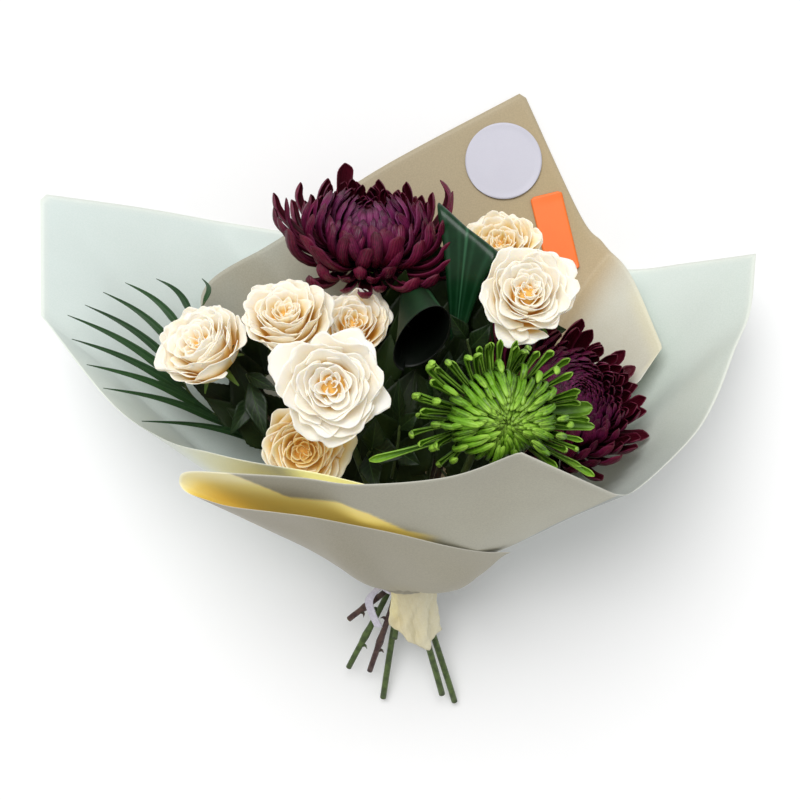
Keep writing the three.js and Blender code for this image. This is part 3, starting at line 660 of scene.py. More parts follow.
# Petals of a chrysanthemum, all at once. Each is a strip that starts at its foot and turns from one lean to
# another, 0 pointing outwards and 90 up, and is folded to a channel whose hollow looks to the middle.
def layPetals(heap, name, petals, rows=11, columns=7):
    base, out, scale, right, up = headAxes(name)
    where = 1 - (1 - np.linspace(0, 1, rows)) ** 1.5
    t = np.linspace(-1, 1, columns)
    s = where[:, None]
    count = len(petals["length"])
    p = {key: np.asarray(value, float)[:, None, None] for key, value in petals.items()}
    lean = np.radians(p["start"] + (p["end"] - p["start"]) * s + p["hook"] * smooth(s, 0.72, 1))
    middle = (lean[:, 1:] + lean[:, :-1]) / 2
    step = p["length"] * np.diff(s, axis=0)
    foot = np.zeros((count, 1, 1))
    r = p["footRadius"] + np.concatenate([foot, np.cumsum(np.cos(middle) * step, 1)], 1)
    h = p["footHeight"] + np.concatenate([foot, np.cumsum(np.sin(middle) * step, 1)], 1)
    tip = np.clip((s - p["tipStart"]) / (1 - p["tipStart"]), 0, 1)
    width = p["width"] * mix(p["neck"], 1, smooth(s, 0, 0.55)) * (1 - 0.86 * tip ** p["point"])
    fold = np.radians(p["fold"]) * (1 - p["open"] * smooth(s, 0.55, 1))
    angle = t * fold
    radius = width / fold
    x = radius * np.sin(angle)
    y = radius * (1 - np.cos(angle)) + p["ridge"] * np.cos(t * 3 * math.pi) * width
    twist = np.radians(p["twist"]) * s
    x, y = x * np.cos(twist) - y * np.sin(twist), x * np.sin(twist) + y * np.cos(twist)
    x = x + p["sway"] * s ** 1.6 * p["length"]
    r = r - np.sin(lean) * y
    h = h + np.cos(lean) * y
    turn = np.radians(p["turn"])
    outwards, sideways = circling(turn, right, up), circling(turn, up, -right)
    points = base + scale * (r[..., None] * outwards + x[..., None] * sideways + h[..., None] * out)
    for k in range(count):
        addGrid(heap, points[k], placeGrid(where, t, petals["draw"][k], petals["u"][k]))


petalDefaults = {
    "hook": 0.0, "sway": 0.0, "twist": 0.0, "neck": 0.55, "tipStart": 0.74, "point": 2.2,
    "open": 0.3, "ridge": 0.03,
}
petalSpread = {"length": 0.12, "width": 0.1, "start": 7, "end": 13, "turn": 4, "twist": 16}


# Petals by the golden turn, from the middle (u = 0) to the outermost (u = 1). A wild head's vary more.
def grownPetals(look, draws):
    count = look["count"]
    index = np.arange(count)
    u = ((index + 0.5) / count) ** look["crowding"]
    table = np.array(look["rows"], float)
    petals = {"u": u, "draw": draws.random(count)}
    for column, key in enumerate(("length", "width", "start", "end", "fold"), 1):
        petals[key] = np.interp(u, table[:, 0], table[:, column])
    for key, value in petalDefaults.items():
        petals[key] = np.full(count, float(look.get(key, value)))
    wild = look["wild"] * (0.35 + 0.65 * u)

    def vary(key):
        return petalSpread[key] * wild * draws.normal(size=count)

    petals["length"] *= 1 + vary("length")
    petals["width"] *= 1 + petalSpread["width"] * draws.normal(size=count)
    petals["start"] += vary("start")
    petals["end"] += vary("end")
    petals["turn"] = np.degrees(index * goldenTurn) + vary("turn")
    petals["sway"] *= np.interp(u, [0, 0.3, 0.8, 1], look.get("swirl", [0, 0, 0, 0]))
    petals["sway"] += look.get("swayWild", 0.1) * wild * draws.normal(size=count)
    petals["twist"] += vary("twist")
    petals["hook"] += look.get("hooked", 0) * smooth(u, 0.8, 0.9) * draws.random(count)
    petals["footRadius"] = look["footRadius"] * np.sqrt(u)
    petals["footHeight"] = mix(look["footHeight"], look["footLow"], u)
    turn = petals["turn"] % 360
    for low, high, limit, factor, raised in look.get("short", ()):
        near = smooth(turn, low, low + 12) * (1 - smooth(turn, high - 12, high))
        near = near * smooth(u, limit, limit + 0.15)
        petals["length"] *= mix(1, factor, near)
        petals["end"] += raised * near
    keep = np.ones(count, bool)
    for low, high, limit in look.get("gaps", ()):
        keep &= ~((turn > low) & (turn < high) & (u > limit))
    return {key: value[keep] for key, value in petals.items()}


# Petals listed one by one: turn, length, half width, start, end, fold, foot height, hook, then anything
# unusual.
def listedPetals(look):
    rows = look["byHand"]
    keys = ("turn", "length", "width", "start", "end", "fold", "footHeight", "hook")
    petals = dict(zip(keys, zip(*[row[:8] for row in rows])))
    for key, value in petalDefaults.items():
        if key not in petals:
            petals[key] = [(row[8:] or [{}])[0].get(key, look.get(key, value)) for row in rows]
    petals["footRadius"] = [look["footRadius"] * 0.9] * len(rows)
    petals["u"] = [1.0] * len(rows)
    petals["draw"] = [(k * 0.37) % 1 for k in range(len(rows))]
    return petals


# Rows: u, length, half width, start, end, fold. Short: from this turn to that one, and from this u outwards,
# the share of the length that is left, and how far the tip is raised. Gaps: no petals from this turn to that
# one, from this u outwards.
topBloom = {
    "count": 236, "crowding": 0.86, "footRadius": 20, "footHeight": 28, "footLow": 1, "wild": 0.95,
    "swayWild": 0.16, "tipStart": 0.86, "point": 2.9, "open": 0.1, "neck": 0.6,
    "rows": [
        [0, 10, 0.9, 86, 145, 62], [0.25, 20, 2.0, 78, 150, 68], [0.5, 33, 3.6, 40, 146, 78],
        [0.72, 50, 5.4, 8, 134, 84], [0.88, 60, 6.6, -10, 116, 86], [1, 60, 7.0, -24, 84, 84],
    ],
    "short": [(200, 340, 0.45, 0.68, 4)],
    "gaps": [(226, 318, 0.93)],
    "byHand": [
        [206, 42, 9.0, -76, 50, 84, -2, 60], [218, 46, 8.6, -66, 60, 84, -1, 50],
        [228, 44, 8.0, -50, 84, 84, 0, 30], [204, 60, 7.0, -16, 80, 80, 1, 0],
        [256, 33, 5.0, -38, 14, 84, -1, 50, {"sway": -0.1, "twist": 30}],
        [270, 40, 7.2, -44, 25, 84, -1, 60], [283, 38, 6.4, -40, 34, 84, 0, 50],
        [264, 34, 6.6, -30, 76, 84, 0, 50], [306, 54, 9.0, -44, 60, 80, 0, 40],
        [318, 60, 9.0, -38, 56, 80, 0, 30], [330, 62, 8.0, -28, 66, 80, 1, 0],
        [341, 62, 7.0, -26, 34, 80, 0, 60], [10, 80, 6.8, 10, 100, 70, 4, 50],
        [117, 64, 7.6, 24, 108, 60, 6, 0, {"point": 4}], [184, 68, 7.0, 0, 62, 76, 3, 40],
        [172, 72, 6.8, 4, 66, 76, 3, 30], [162, 66, 6.6, 14, 84, 76, 4, 40],
        [196, 64, 7.0, 0, 66, 78, 2, 20], [300, 46, 7.6, 8, 94, 78, 2, 0, {"open": 0.3}],
        [292, 38, 7.0, -24, 70, 80, 0, 20], [243, 54, 6.6, -6, 72, 80, 1, 0, {"sway": -0.22}],
        [232, 58, 7.0, 0, 74, 80, 1, 0, {"sway": -0.18}], [250, 34, 6.2, -30, 50, 80, -1, 0],
        [278, 32, 6.4, -34, 60, 80, -1, 0],
    ],
}
# swirl: how much of the sway petals have at u = 0, 0.3, 0.8 and 1
rightBloom = {
    "count": 340, "crowding": 0.84, "footRadius": 29, "footHeight": 42, "footLow": 3, "wild": 0.6,
    "sway": -0.4, "swirl": [0.5, 0.6, 0.3, 0.05], "tipStart": 0.82, "point": 2.7, "open": 0.1,
    "rows": [
        [0, 7, 0.6, 80, 150, 50], [0.12, 11, 1.3, 76, 150, 55], [0.3, 18, 2.7, 66, 150, 64],
        [0.55, 30, 4.4, 45, 140, 76], [0.8, 42, 5.8, 22, 126, 82], [0.92, 49, 6.6, 4, 104, 80],
        [1, 51, 6.6, -10, 70, 78],
    ],
    "byHand": [
        [268, 60, 6.6, -8, 50, 80, 3, 0], [280, 58, 6.4, -10, 60, 80, 3, 0], [256, 60, 6.6, -8, 60, 80, 3, 0],
        [164, 62, 6.4, 0, 60, 80, 3, 0], [150, 66, 6.4, -2, 56, 80, 3, 0], [136, 66, 6.4, -2, 54, 80, 3, 0],
        [122, 62, 6.4, -4, 58, 80, 3, 0],
    ],
}
quillTip = {"tipStart": 0.93}
# hooked: how far the tip of an outer quill can turn in
greenBloom = {
    "count": 540, "crowding": 0.76, "footRadius": 16, "footHeight": 24, "footLow": 8, "wild": 0.5,
    "ridge": 0.0, "tipStart": 0.88, "point": 2.4, "open": 0.3, "neck": 0.7, "hooked": 110, "swayWild": 0.08,
    "rows": [
        [0, 7, 0.8, 88, 140, 100], [0.15, 16, 1.4, 80, 160, 106], [0.35, 25, 2.0, 62, 166, 110],
        [0.55, 44, 2.7, 34, 172, 112], [0.76, 61, 3.0, 10, 172, 112], [0.9, 66, 3.1, -4, 160, 112],
        [0.95, 60, 5.0, 0, 70, 158], [1, 57, 4.8, -8, 24, 164],
    ],
    "short": [(210, 330, 0.45, 0.74, 6), (40, 140, 0.9, 0.8, 4)],
    "gaps": [(218, 318, 0.84)],
    "byHand": [
        [8, 56, 8.0, 0, 24, 60, 10, 0, {"open": -0.6, "neck": 0.3, "ridge": 0.05, **quillTip}],
        [356, 58, 6.0, -4, 20, 80, 8, 0, {"open": -0.5, "neck": 0.4, "ridge": 0.05, **quillTip}],
        [330, 72, 5.0, -4, 6, 160, 6, 50, {"tipStart": 0.92}],
        [320, 64, 4.8, -4, 10, 160, 6, 40, {"tipStart": 0.92}],
        [203, 82, 5.4, -8, -2, 150, 2, 0, {"sway": -0.1, "tipStart": 0.9}],
        [98, 50, 5.0, 4, 26, 160, 12, 60, quillTip], [78, 47, 5.0, 2, 30, 160, 12, 50, quillTip],
        [62, 50, 5.0, 2, 30, 160, 12, 60, quillTip], [140, 64, 5.0, -2, 20, 160, 12, 110, quillTip],
        [168, 64, 5.0, 0, 24, 160, 8, 120, {"sway": -0.1}],
        [152, 64, 5.0, 0, 26, 160, 8, 120, {"sway": -0.2}],
        [184, 62, 5.0, -4, 20, 160, 6, 110, {"sway": 0.1}],
    ],
}
petalThickness = 0.5


def makeBloom(name, look, outside, inside, seed):
    draws = np.random.default_rng(seed)
    heap = newHeap()
    layPetals(heap, name, grownPetals(look, draws))
    layPetals(heap, name, listedPetals(look), 17, 9)
    makePiece(name + "_petals", heap, [outside, inside], name, petalThickness)


makeBloom("chrysanthemum_top", topBloom, burgundyOutside, burgundyInside, 11)
makeBloom("chrysanthemum_right", rightBloom, burgundyOutside, burgundyInside, 12)
makeBloom("chrysanthemum_green", greenBloom, greenOutside, greenInside, 13)


# A domed floor for the petals of a head, from one height to another, and the green cup of bracts under it.
def makeCup(name, radius, low, high, bracts, heart):
    base, out, scale, right, up = headAxes(name)
    heap = newHeap()
    sides = 32
    turn = np.arange(sides) * 2 * math.pi / sides
    rings = np.array([
        [0.28, low - 3], [0.7, low - 2], [1, low + 2], [0.96, mix(low, high, 0.5)], [0.7, high - 3],
        [0.35, high - 1], [0.04, high],
    ])
    around = circling(turn, right, up)
    grid = base + scale * (rings[:, 0, None, None] * radius * around + rings[:, 1, None, None] * out)
    place = placeGrid(np.linspace(0, 0.3, len(rings)), np.linspace(-1, 1, sides))
    addGrid(heap, grid, place, loop=True, capped=True)
    makePiece(name + "_heart", heap, [heart])
    heap = newHeap()
    count = bracts["count"]
    draws = np.random.default_rng(count)
    petals = {key: np.full(count, float(value)) for key, value in {**petalDefaults, **bracts}.items()}
    petals["length"] *= 1 + 0.15 * draws.normal(size=count)
    petals["end"] += 14 * draws.normal(size=count)
    petals["turn"] += np.arange(count) * 360 / count
    petals["draw"] = draws.random(count)
    petals["u"] = np.ones(count)
    layPetals(heap, name, petals, 9, 7)
    makePiece(name + "_calyx", heap, [calyxGreen], thickness=petalThickness)


mumBracts = {
    "count": 18, "turn": 0, "length": 19, "width": 3.2, "start": -8, "end": 30, "fold": 40,
    "footHeight": -2, "footRadius": 6, "point": 1.5, "tipStart": 0.3,
}
makeCup("chrysanthemum_top", 19, 1, 32, mumBracts, burgundyInside)
makeCup("chrysanthemum_right", 27, 3, 37, mumBracts, burgundyInside)
makeCup("chrysanthemum_green", 14, 6, 24, mumBracts, greenInside)
print("made the chrysanthemums")

# Roses: cupped petals in layers whose rims turn outwards in broad lips. The petals of the heart are folded
# lengthwise. q runs from 0 in the heart to 1 outermost.
roseShape = {
    "count": 38, "rimRadius": (2.2, 29.0, 0.95),
    "rimHeight": [[0, 34], [0.2, 37], [0.5, 39], [0.8, 36], [1, 29]],
    "wrap": (17, 0.78, 2), "curl": (2.4, 8.0), "drop": (1.4, 8.0), "ruffle": 1.2, "thickness": 0.45,
    "lip": 0.62, "folded": 0.42, "point": 0.15, "waves": (0.016, 0.014, 0.012), "rows": 17, "columns": 29,
}
# seed, how far open, how warm it is: all over, which for the roses deep in the bunch is partly painted shade,
# and in the painted shade of its depths; how ragged its rims are
roses = {
    "rose_front": (21, 0.95, 0.25, 1.6), "rose_upper_left": (22, 0.96, 0.8, 1.8),
    "rose_left": (23, 1.0, 0.65, 1.6), "rose_behind": (24, 0.95, 0.9, 1.4), "rose_low": (25, 0.9, 1.5, 1.2),
    "rose_right": (26, 0.96, 0.45, 2.2), "rose_far_right": (27, 0.95, 1.1, 2.3),
}
sepals = {
    "count": 5, "turn": 20, "length": 21, "width": 3.6, "start": -5, "end": -50, "fold": 34,
    "footHeight": 0.5, "footRadius": 3.5, "point": 1.2, "tipStart": 0.25,
}


def makeRose(name):
    seed, opened, warmth, ragged = roses[name]
    base, out, scale, right, up = headAxes(name)
    draws = np.random.default_rng(seed)
    shape = roseShape
    wrapLength, wrapScale, wrapExtra = shape["wrap"]
    heap = newHeap()
    s = np.linspace(0, 1, shape["rows"])[:, None] ** 0.85
    t = np.linspace(-1, 1, shape["columns"])[None]
    inner, spread, power = shape["rimRadius"]
    for k in range(shape["count"]):
        q = (k + 0.5) / shape["count"]
        heart = max(0.0, 1 - q / shape["folded"])
        rim = (inner + spread * q ** power) * mix(1, opened, q) * (1 + 0.04 * draws.normal())
        tall = np.interp(q, *np.array(shape["rimHeight"]).T) + 1.3 * draws.normal()
        wrap = np.clip(wrapLength / (wrapScale * rim + wrapExtra), 0.5, 1.3) * (1 + 0.12 * draws.normal())
        start = k * goldenTurn + 0.25 * draws.normal()
        phase = draws.random(4) * 6.28
        # the rim is rounded, with a soft point, and ragged
        point = shape["point"] * q * np.clip(1 - np.abs(t - 0.4 * np.sin(phase[0])), 0, 1) ** 4
        edge = 1 - 0.15 * np.abs(t) ** 3.4 + point
        broad, narrow, notch = np.array(shape["waves"]) * ragged
        edge = edge + broad * np.sin(t * 6 + phase[1]) + narrow * np.sin(t * 11 + phase[2])
        edge = edge + notch * q * np.abs(np.sin(t * 9 + phase[3]))
        a = s * edge
        angle = start + t * wrap * (0.42 + 0.58 * smooth(s, 0, 0.6))
        # the lip turns outwards and down, most in the outer petals
        lip = np.clip((a - shape["lip"]) / (1 - shape["lip"]), 0, 1.25)
        curl = mix(*shape["curl"], q ** 0.8) * (1 + 0.2 * draws.normal())
        drop = mix(*shape["drop"], q ** 1.5)
        roll = 0.75 + 0.35 * np.cos(t * 2.2 + phase[3])
        r = 2 + (rim - 2) * (1 - (1 - np.clip(a, 0, 1)) ** 2.6) + curl * roll * lip ** 1.5
        r = r * (1 - 0.6 * heart * np.abs(t) ** 1.6) + t * (0.4 + 0.03 * rim)
        r = r + shape["ruffle"] * (0.3 + q) * smooth(a, 0.6, 1) * np.sin(t * 4.4 + phase[1])
        h = tall * np.clip(a, 0, 1.1) ** (1.1 + 0.35 * q) - drop * roll * lip ** 2
        h = h + 0.8 * smooth(a, 0.6, 1) * np.sin(t * 5.2 + phase[2])
        grid = base + scale * (r[..., None] * circling(angle, right, up) + h[..., None] * out)
        addGrid(heap, grid, placeGrid(s[:, 0], t[0], warmth * (0.8 + 0.2 * draws.random()), q))
    makePiece(name + "_petals", heap, [creamOutside, creamInside], name, shape["thickness"])
    makeCup(name, 12.5, -2, 28, sepals, roseHeart)


for rose in roses:
    makeRose(rose)
print("made the roses")


# A smooth path through points that may stand at uneven distances.
def smoothPath(points, steps):
    points = np.array(points, float)
    more = np.vstack([2 * points[0] - points[1], points, 2 * points[-1] - points[-2]])
    f = np.linspace(0, 1, steps + 1)[:-1, None]
    parts = []
    for p0, p1, p2, p3 in zip(more, more[1:], more[2:], more[3:]):
        d0, d1, d2 = (max(np.linalg.norm(b - a), 1e-3) ** 0.5 for a, b in ((p0, p1), (p1, p2), (p2, p3)))
        m1 = d1 * ((p1 - p0) / d0 - (p2 - p0) / (d0 + d1) + (p2 - p1) / d1)
        m2 = d1 * ((p2 - p1) / d1 - (p3 - p1) / (d1 + d2) + (p3 - p2) / d2)
        parts.append((2 * f ** 3 - 3 * f ** 2 + 1) * p1 + (f ** 3 - 2 * f ** 2 + f) * m1
                     + (3 * f ** 2 - 2 * f ** 3) * p2 + (f ** 3 - f ** 2) * m2)
    return np.concatenate(parts + [points[-1:]])


# A direction that no stem runs in, from which the sides of tubes and thorns are worked out.
steady = np.array([0.3, 0.2, 0.9])


def addTube(heap, path, radius, sides=12, paint=0):
    forward = unit(np.gradient(path, axis=0))
    side = [unit(np.cross(forward[0], steady))]
    for direction in forward[1:]:
        side.append(unit(side[-1] - direction * direction.dot(side[-1])))
    side = np.array(side)
    other = np.cross(forward, side)
    turn = np.linspace(0, 2 * math.pi, sides, endpoint=False)
    radius = np.broadcast_to(radius, len(path))[:, None, None]
    grid = path[:, None] + radius * circling(turn, side[:, None], other[:, None])
    place = placeGrid(np.linspace(0, 1, len(path)), np.linspace(-1, 1, sides))
    addGrid(heap, grid, place, loop=True, capped=True, paint=paint)


def stalkPiece(name, path, radius, sides):
    heap = newHeap()
    addTube(heap, path, radius, sides)
    makePiece(name, heap, [greenStem])


# Stems: radius, where they start under the head, knots as place and swelling, thorns as place and turn.
# 0 is at the flower and 1 at the cut. Each runs straight for a neck's length, and along the bunch's axis
# where it is bound. A thorn is its radius at its root, in its middle and at its tip.
stemKinds = {
    "chrysanthemum": {
        "radius": 2.7, "foot": -2, "knots": [(0.55, 0.5), (0.86, 0.7)],
        "thorns": [], "slot": "chrysanthemum_stem",
    },
    "rose": {
        "radius": 2.5, "foot": -4.5, "knots": [(0.7, 0.4), (0.93, 0.8)],
        "thorns": [(0.89, 20), (0.95, 200), (0.8, 120)], "slot": "rose_stem",
    },
}
stemShape = {"neck": 14, "boundReach": 9, "knotLength": 0.012, "thorn": [1.8, 0.9, 0.12]}
innerStems = ("rose_behind",)
greenRoseStems = ("rose_upper_left", "rose_front", "rose_behind")
stemPaths = {}


def makeStem(name):
    kind = name.split("_")[0]
    look = stemKinds[kind]
    base, out, scale = headAxes(name)[:3]
    bend, turn, end = flowers[name][3:]
    bound = binding + outward(turn) * bunch["innerRing" if name in innerStems else "outerRing"]
    reach = stemShape["boundReach"] * along
    neck = base - out * stemShape["neck"]
    path = smoothPath([base + out * look["foot"] * scale, neck, bend, bound + reach, bound - reach, end], 12)
    stemPaths[name] = path
    where = np.linspace(0, 1, len(path))
    radius = look["radius"] * (0.94 + 0.06 * np.cos(where * 3))
    for at, swell in look["knots"]:
        radius = radius + swell * np.exp(-((where - at) / stemShape["knotLength"]) ** 2)
    heap = newHeap()
    addTube(heap, path, radius)
    last = unit(path[-1] - path[-2])
    addTube(heap, np.array([path[-1] - last * 0.2, path[-1] + last * 0.35]), radius[-1] * 0.86, paint=1)
    for at, angle in look["thorns"]:
        k = int(at * (len(path) - 1))
        forward = unit(path[k + 1] - path[k - 1])
        side = unit(np.cross(forward, steady))
        away = circling(math.radians(angle), side, np.cross(forward, side))
        root = path[k] + away * radius[k] * 0.7
        thorn = np.array([root, root + away * 2.2 - forward * 0.5, root + away * 4.2 + forward * 1.2])
        addTube(heap, thorn, stemShape["thorn"], 8)
    skin = brownStem if kind == "rose" and name not in greenRoseStems else greenStem
    makePiece(name + "_stalk", heap, [skin, cutEnd], name + "_stem")


for flower in flowers:
    makeStem(flower)
print("made the stems")

# Rose leaf sprays: the stalk's points, then leaflets as base, tip and half width.
leafSprays = {
    "rose_leaves_left": (
        [[-94, -8, 103], [-100, 4, 108], [-106, 18, 116]],
        [[-106, 18, 116, -83, 6, 128, 5], [-104, 12, 114, -92, -26, 122, 8],
         [-100, 4, 108, -118, -24, 112, 7]]),
    "rose_leaves_low": (
        [[-22, -46, 122], [-22, -38, 134], [-18, -32, 148]],
        [[-18, -32, 148, 2, -38, 158, 9], [-22, -38, 134, -16, -60, 150, 8],
         [-19, -34, 146, -16, -12, 158, 8]]),
    "rose_leaves_middle": (
        [[-6, -54, 112], [-2, -34, 126], [0, -16, 138]],
        [[0, -16, 138, -1, 14, 152, 4.5], [-2, -34, 126, 14, -44, 140, 7],
         [-1, -20, 135, 14, -8, 144, 6]]),
    "rose_leaves_centre": (
        [[36, -22, 84], [32, -4, 96], [30, 8, 106]],
        [[30, 8, 106, 34, 34, 118, 8], [31, 2, 102, 18, 14, 118, 7],
         [33, -8, 94, 20, -22, 116, 8]]),
    "rose_leaves_right": (
        [[52, 16, 112], [49, 30, 120], [46, 42, 126]],
        [[46, 42, 126, 34, 58, 136, 6], [48, 36, 123, 62, 52, 132, 7],
         [49, 30, 120, 38, 26, 130, 6]]),
    "rose_leaves_upper": (
        [[-58, 8, 98], [-58, 22, 112], [-56, 32, 122]],
        [[-56, 32, 122, -44, 44, 136, 7], [-57, 26, 116, -74, 12, 126, 8],
         [-58, 22, 112, -40, 14, 126, 7]]),
}
leafletShape = {
    "arch": 3, "bow": 1.5, "fold": 0.28, "teeth": 13, "toothDepth": 0.08, "wave": 0.7, "widest": 0.42,
    "thickness": 0.4, "stalk": 1.1, "rows": 40, "columns": 9,
}
palmShape = {
    "arch": 5, "bow": 5.5, "fold": 0.45, "teeth": 0, "toothDepth": 0, "wave": 0.35, "widest": 0.3,
    "thickness": 0.35, "stalk": (1.7, 0.7), "rows": 26, "columns": 7,
}


# A leaflet bows to its own side by its seed, unless it has no teeth.
def addLeaflet(heap, base, tip, half, shape, seed):
    base, tip = np.array(base, float), np.array(tip, float)
    widest = shape["widest"]
    v = np.linspace(0, 1, shape["rows"])[:, None]
    t = np.linspace(-1, 1, shape["columns"])[None]
    side = unit(np.array([tip[1] - base[1], base[0] - tip[0], 0.0]))
    middle = base * (1 - v) + tip * v
    middle[:, 2] += 4 * shape["arch"] * (v * (1 - v))[:, 0]
    lift = np.cross(side, unit(tip - base))
    lift = lift if lift[2] > 0 else -lift
    body = np.where(v < widest, smooth(v, -0.1, widest) ** 0.8, np.clip((1 - v) / (1 - widest), 0, 1) ** 0.85)
    teeth = 1 + shape["toothDepth"] * ((v * shape["teeth"]) % 1.0)
    width = half * np.maximum(body, 0.03) * teeth
    bend = shape["bow"] * (math.sin(seed * 3.1) if shape["teeth"] else 1) * np.sin(v * math.pi)
    wave = shape["wave"] * np.abs(t) * np.sin(v * 9 + seed + t * 1.5)
    rise = shape["fold"] * np.abs(t) * width + wave * smooth(v, 0, 0.3)
    grid = middle[:, None] + (t * width + bend)[..., None] * side + rise[..., None] * lift
    addGrid(heap, grid, placeGrid(v[:, 0], t[0], (seed * 0.37) % 1))


def makeSpray(name, number):
    stalk, blades = leafSprays[name]
    heap = newHeap()
    for k, leaf in enumerate(blades):
        addLeaflet(heap, leaf[:3], leaf[3:6], leaf[6], leafletShape, number * 3 + k)
    makePiece(name + "_leaflets", heap, [roseLeaf], name, leafletShape["thickness"])
    stalkPiece(name + "_stalk", smoothPath(stalk, 8), leafletShape["stalk"], 8)


for number, spray in enumerate(leafSprays):
    makeSpray(spray, number)
print("made the rose leaves")

# Leaves deep in the bunch, on the rose stems below the heads: middle x, y, z, heading, length, half width.
deepLeaves = [
    [-112, 20, 86, 120, 46, 13], [-95, -5, 84, 155, 46, 13], [-80, 22, 80, 115, 48, 14],
    [-100, 40, 80, 110, 44, 13], [-72, -28, 82, 172, 44, 12], [-55, -8, 90, 135, 46, 13],
    [-58, 36, 78, 100, 50, 15], [-30, 20, 84, 110, 48, 14], [-30, -20, 84, 120, 46, 13],
    [-8, -6, 92, 90, 46, 13], [-6, -40, 98, 85, 44, 12], [8, -24, 104, 70, 42, 12], [6, 24, 88, 92, 46, 13],
    [-4, 52, 80, 95, 46, 14], [18, 64, 76, 85, 46, 14], [22, 36, 86, 60, 44, 13], [40, 80, 80, 80, 48, 14],
    [36, 56, 88, 70, 46, 13], [58, 62, 84, 65, 46, 14], [62, 36, 90, 55, 46, 14], [48, 14, 94, 60, 46, 14],
    [80, 40, 88, 40, 46, 14], [30, -10, 104, 70, 42, 12], [76, 84, 78, 60, 44, 13],
    [96, 48, 84, 25, 46, 14], [24, 100, 68, 85, 46, 14], [-66, -44, 86, 185, 40, 11],
    [90, 14, 80, 20, 44, 13], [12, -34, 118, 60, 46, 14], [18, -2, 112, 100, 46, 14],
    [2, 2, 108, 80, 44, 13], [34, -30, 112, 110, 46, 14], [-12, -20, 110, 120, 44, 13],
    [38, 30, 98, 95, 44, 13], [8, -52, 112, 95, 40, 12], [-30, -44, 104, 100, 40, 12],
    [-128, 4, 92, 140, 44, 10], [-118, -12, 96, 150, 46, 11], [-108, 8, 96, 120, 46, 12],
    [-104, -20, 98, 165, 44, 11], [-9, 26, 98, 100, 40, 12], [44, -44, 120, 90, 40, 13],
    [58, -40, 122, 70, 38, 12], [1, 59, 84, 80, 46, 15], [25, 77, 80, 95, 46, 15],
    [-6, 62, 78, 120, 40, 14], [64, 58, 96, 75, 40, 12], [-10, 76, 76, 95, 46, 15], [0, 70, 84, 80, 44, 14],
    [-20, 84, 66, 110, 44, 14], [2, 40, 92, 100, 46, 14],
]
# They hang between these points of the rose stems, each by a stalk that sags.
deepShape = {"from": 12, "to": 40, "stalk": 0.9, "sag": 3}


def makeDeepLeaves():
    leaves = newHeap()
    stalks = newHeap()
    paths = [path[deepShape["from"]:deepShape["to"]] for name, path in stemPaths.items() if "rose" in name]
    paths = np.concatenate(paths)
    draws = np.random.default_rng(31)
    for k, (x, y, z, heading, length, half) in enumerate(deepLeaves):
        heading = math.radians(heading + 14 * draws.normal())
        reach = np.array([math.cos(heading), math.sin(heading), 0.3 + 0.25 * draws.normal()]) * length / 2
        middle = np.array([x, y, z + 3 * draws.normal()])
        addLeaflet(leaves, middle - reach, middle + reach, half, leafletShape, k + 0.3)
        root = paths[np.argmin(np.linalg.norm(paths - (middle - reach), axis=1))]
        sag = (root + middle - reach) / 2 - [0, 0, deepShape["sag"]]
        addTube(stalks, smoothPath([root, sag, middle - reach], 6), deepShape["stalk"], 7)
    makePiece("deep_leaflets", leaves, [shadedDeepLeaf], thickness=leafletShape["thickness"])
    makePiece("deep_leaf_stalks", stalks, [greenStem])


makeDeepLeaves()
print("made the leaves deep in the bunch")

# The palm frond: its midrib from its cut end, the first points given at the binding, and narrow leaflets
# as place along the midrib, tip and half width.
palm = {
    "bound": [[-2.8, -2.8, -30], [-2.8, -2.8, -9], [-2.8, -2.8, 9], [-6, -8, 24], [-17, -24, 44],
              [-46, -35, 66]],
    "free": [[-104, -29, 72], [-132, -11, 83], [-150, 6, 92], [-155, 26, 92], [-151, 50, 82], [-141, 71, 72]],
    "leaflets": [
        [0.52, -171, -14, 158, 2.8], [0.58, -198, 8, 151, 3], [0.64, -212, 24, 138, 3.2],
        [0.69, -226, 42, 121, 3.2], [0.74, -231, 59, 112, 3.2], [0.79, -222, 67, 98, 3],
        [0.84, -212, 77, 84, 2.9], [0.89, -199, 85, 70, 2.8], [0.94, -179, 89, 56, 2.6],
        [0.99, -147, 90, 44, 2.4],
    ],
}


def makePalm():
    midrib = [atBinding(*point) for point in palm["bound"]] + palm["free"]
    heap = newHeap()
    for k, (at, x, y, z, half) in enumerate(palm["leaflets"]):
        addLeaflet(heap, through(midrib, at), [x, y, z], half, palmShape, k + 0.5)
    makePiece("palm_leaflets", heap, [palmLeaf], "palm_frond", palmShape["thickness"])
    where = np.linspace(0, 1, 90)
    stalkPiece("palm_midrib", through(midrib, where), mix(*palmShape["stalk"], where), 10)


makePalm()
print("made the palm frond")

# Aspidistra leaves: one rolled to an open tube, one folded over at its top. Their stalks end at the binding.
broadLeaf = {"thickness": 0.6, "stalk": 1.7}
rolledLeaf = {
    "back": [12, 68, 101], "mouth": [15, 41, 150], "backHalf": [12, 13], "mouthHalf": [13, 24], "tilt": 34,
    "open": -10, "flare": 1.6, "tail": 0.5, "stalk": [[26, 63, 101], [25, 50, 92], [16, -10, 66]],
    "bound": [[2.8, 2.8, 9], [2.8, 2.8, -9], [3.4, 2, -44]],
}
foldedLeaf = {
    "points": [[38, 30, 92], [41, 60, 104], [44, 92, 117], [46, 112, 121], [47, 118, 116], [52, 98, 108],
               [44, 66, 97]],
    "halves": [3, 9, 18, 27, 27, 15, 7], "side": [0.74, -0.64, 0.3], "fold": 0.04, "wave": 0.6,
    "stalk": [[38, 34, 93.5], [34, 10, 80]],
    "bound": [[11, -20, 42], [2.8, -2.8, 9], [2.8, -2.8, -9], [3, -3, -30]],
}


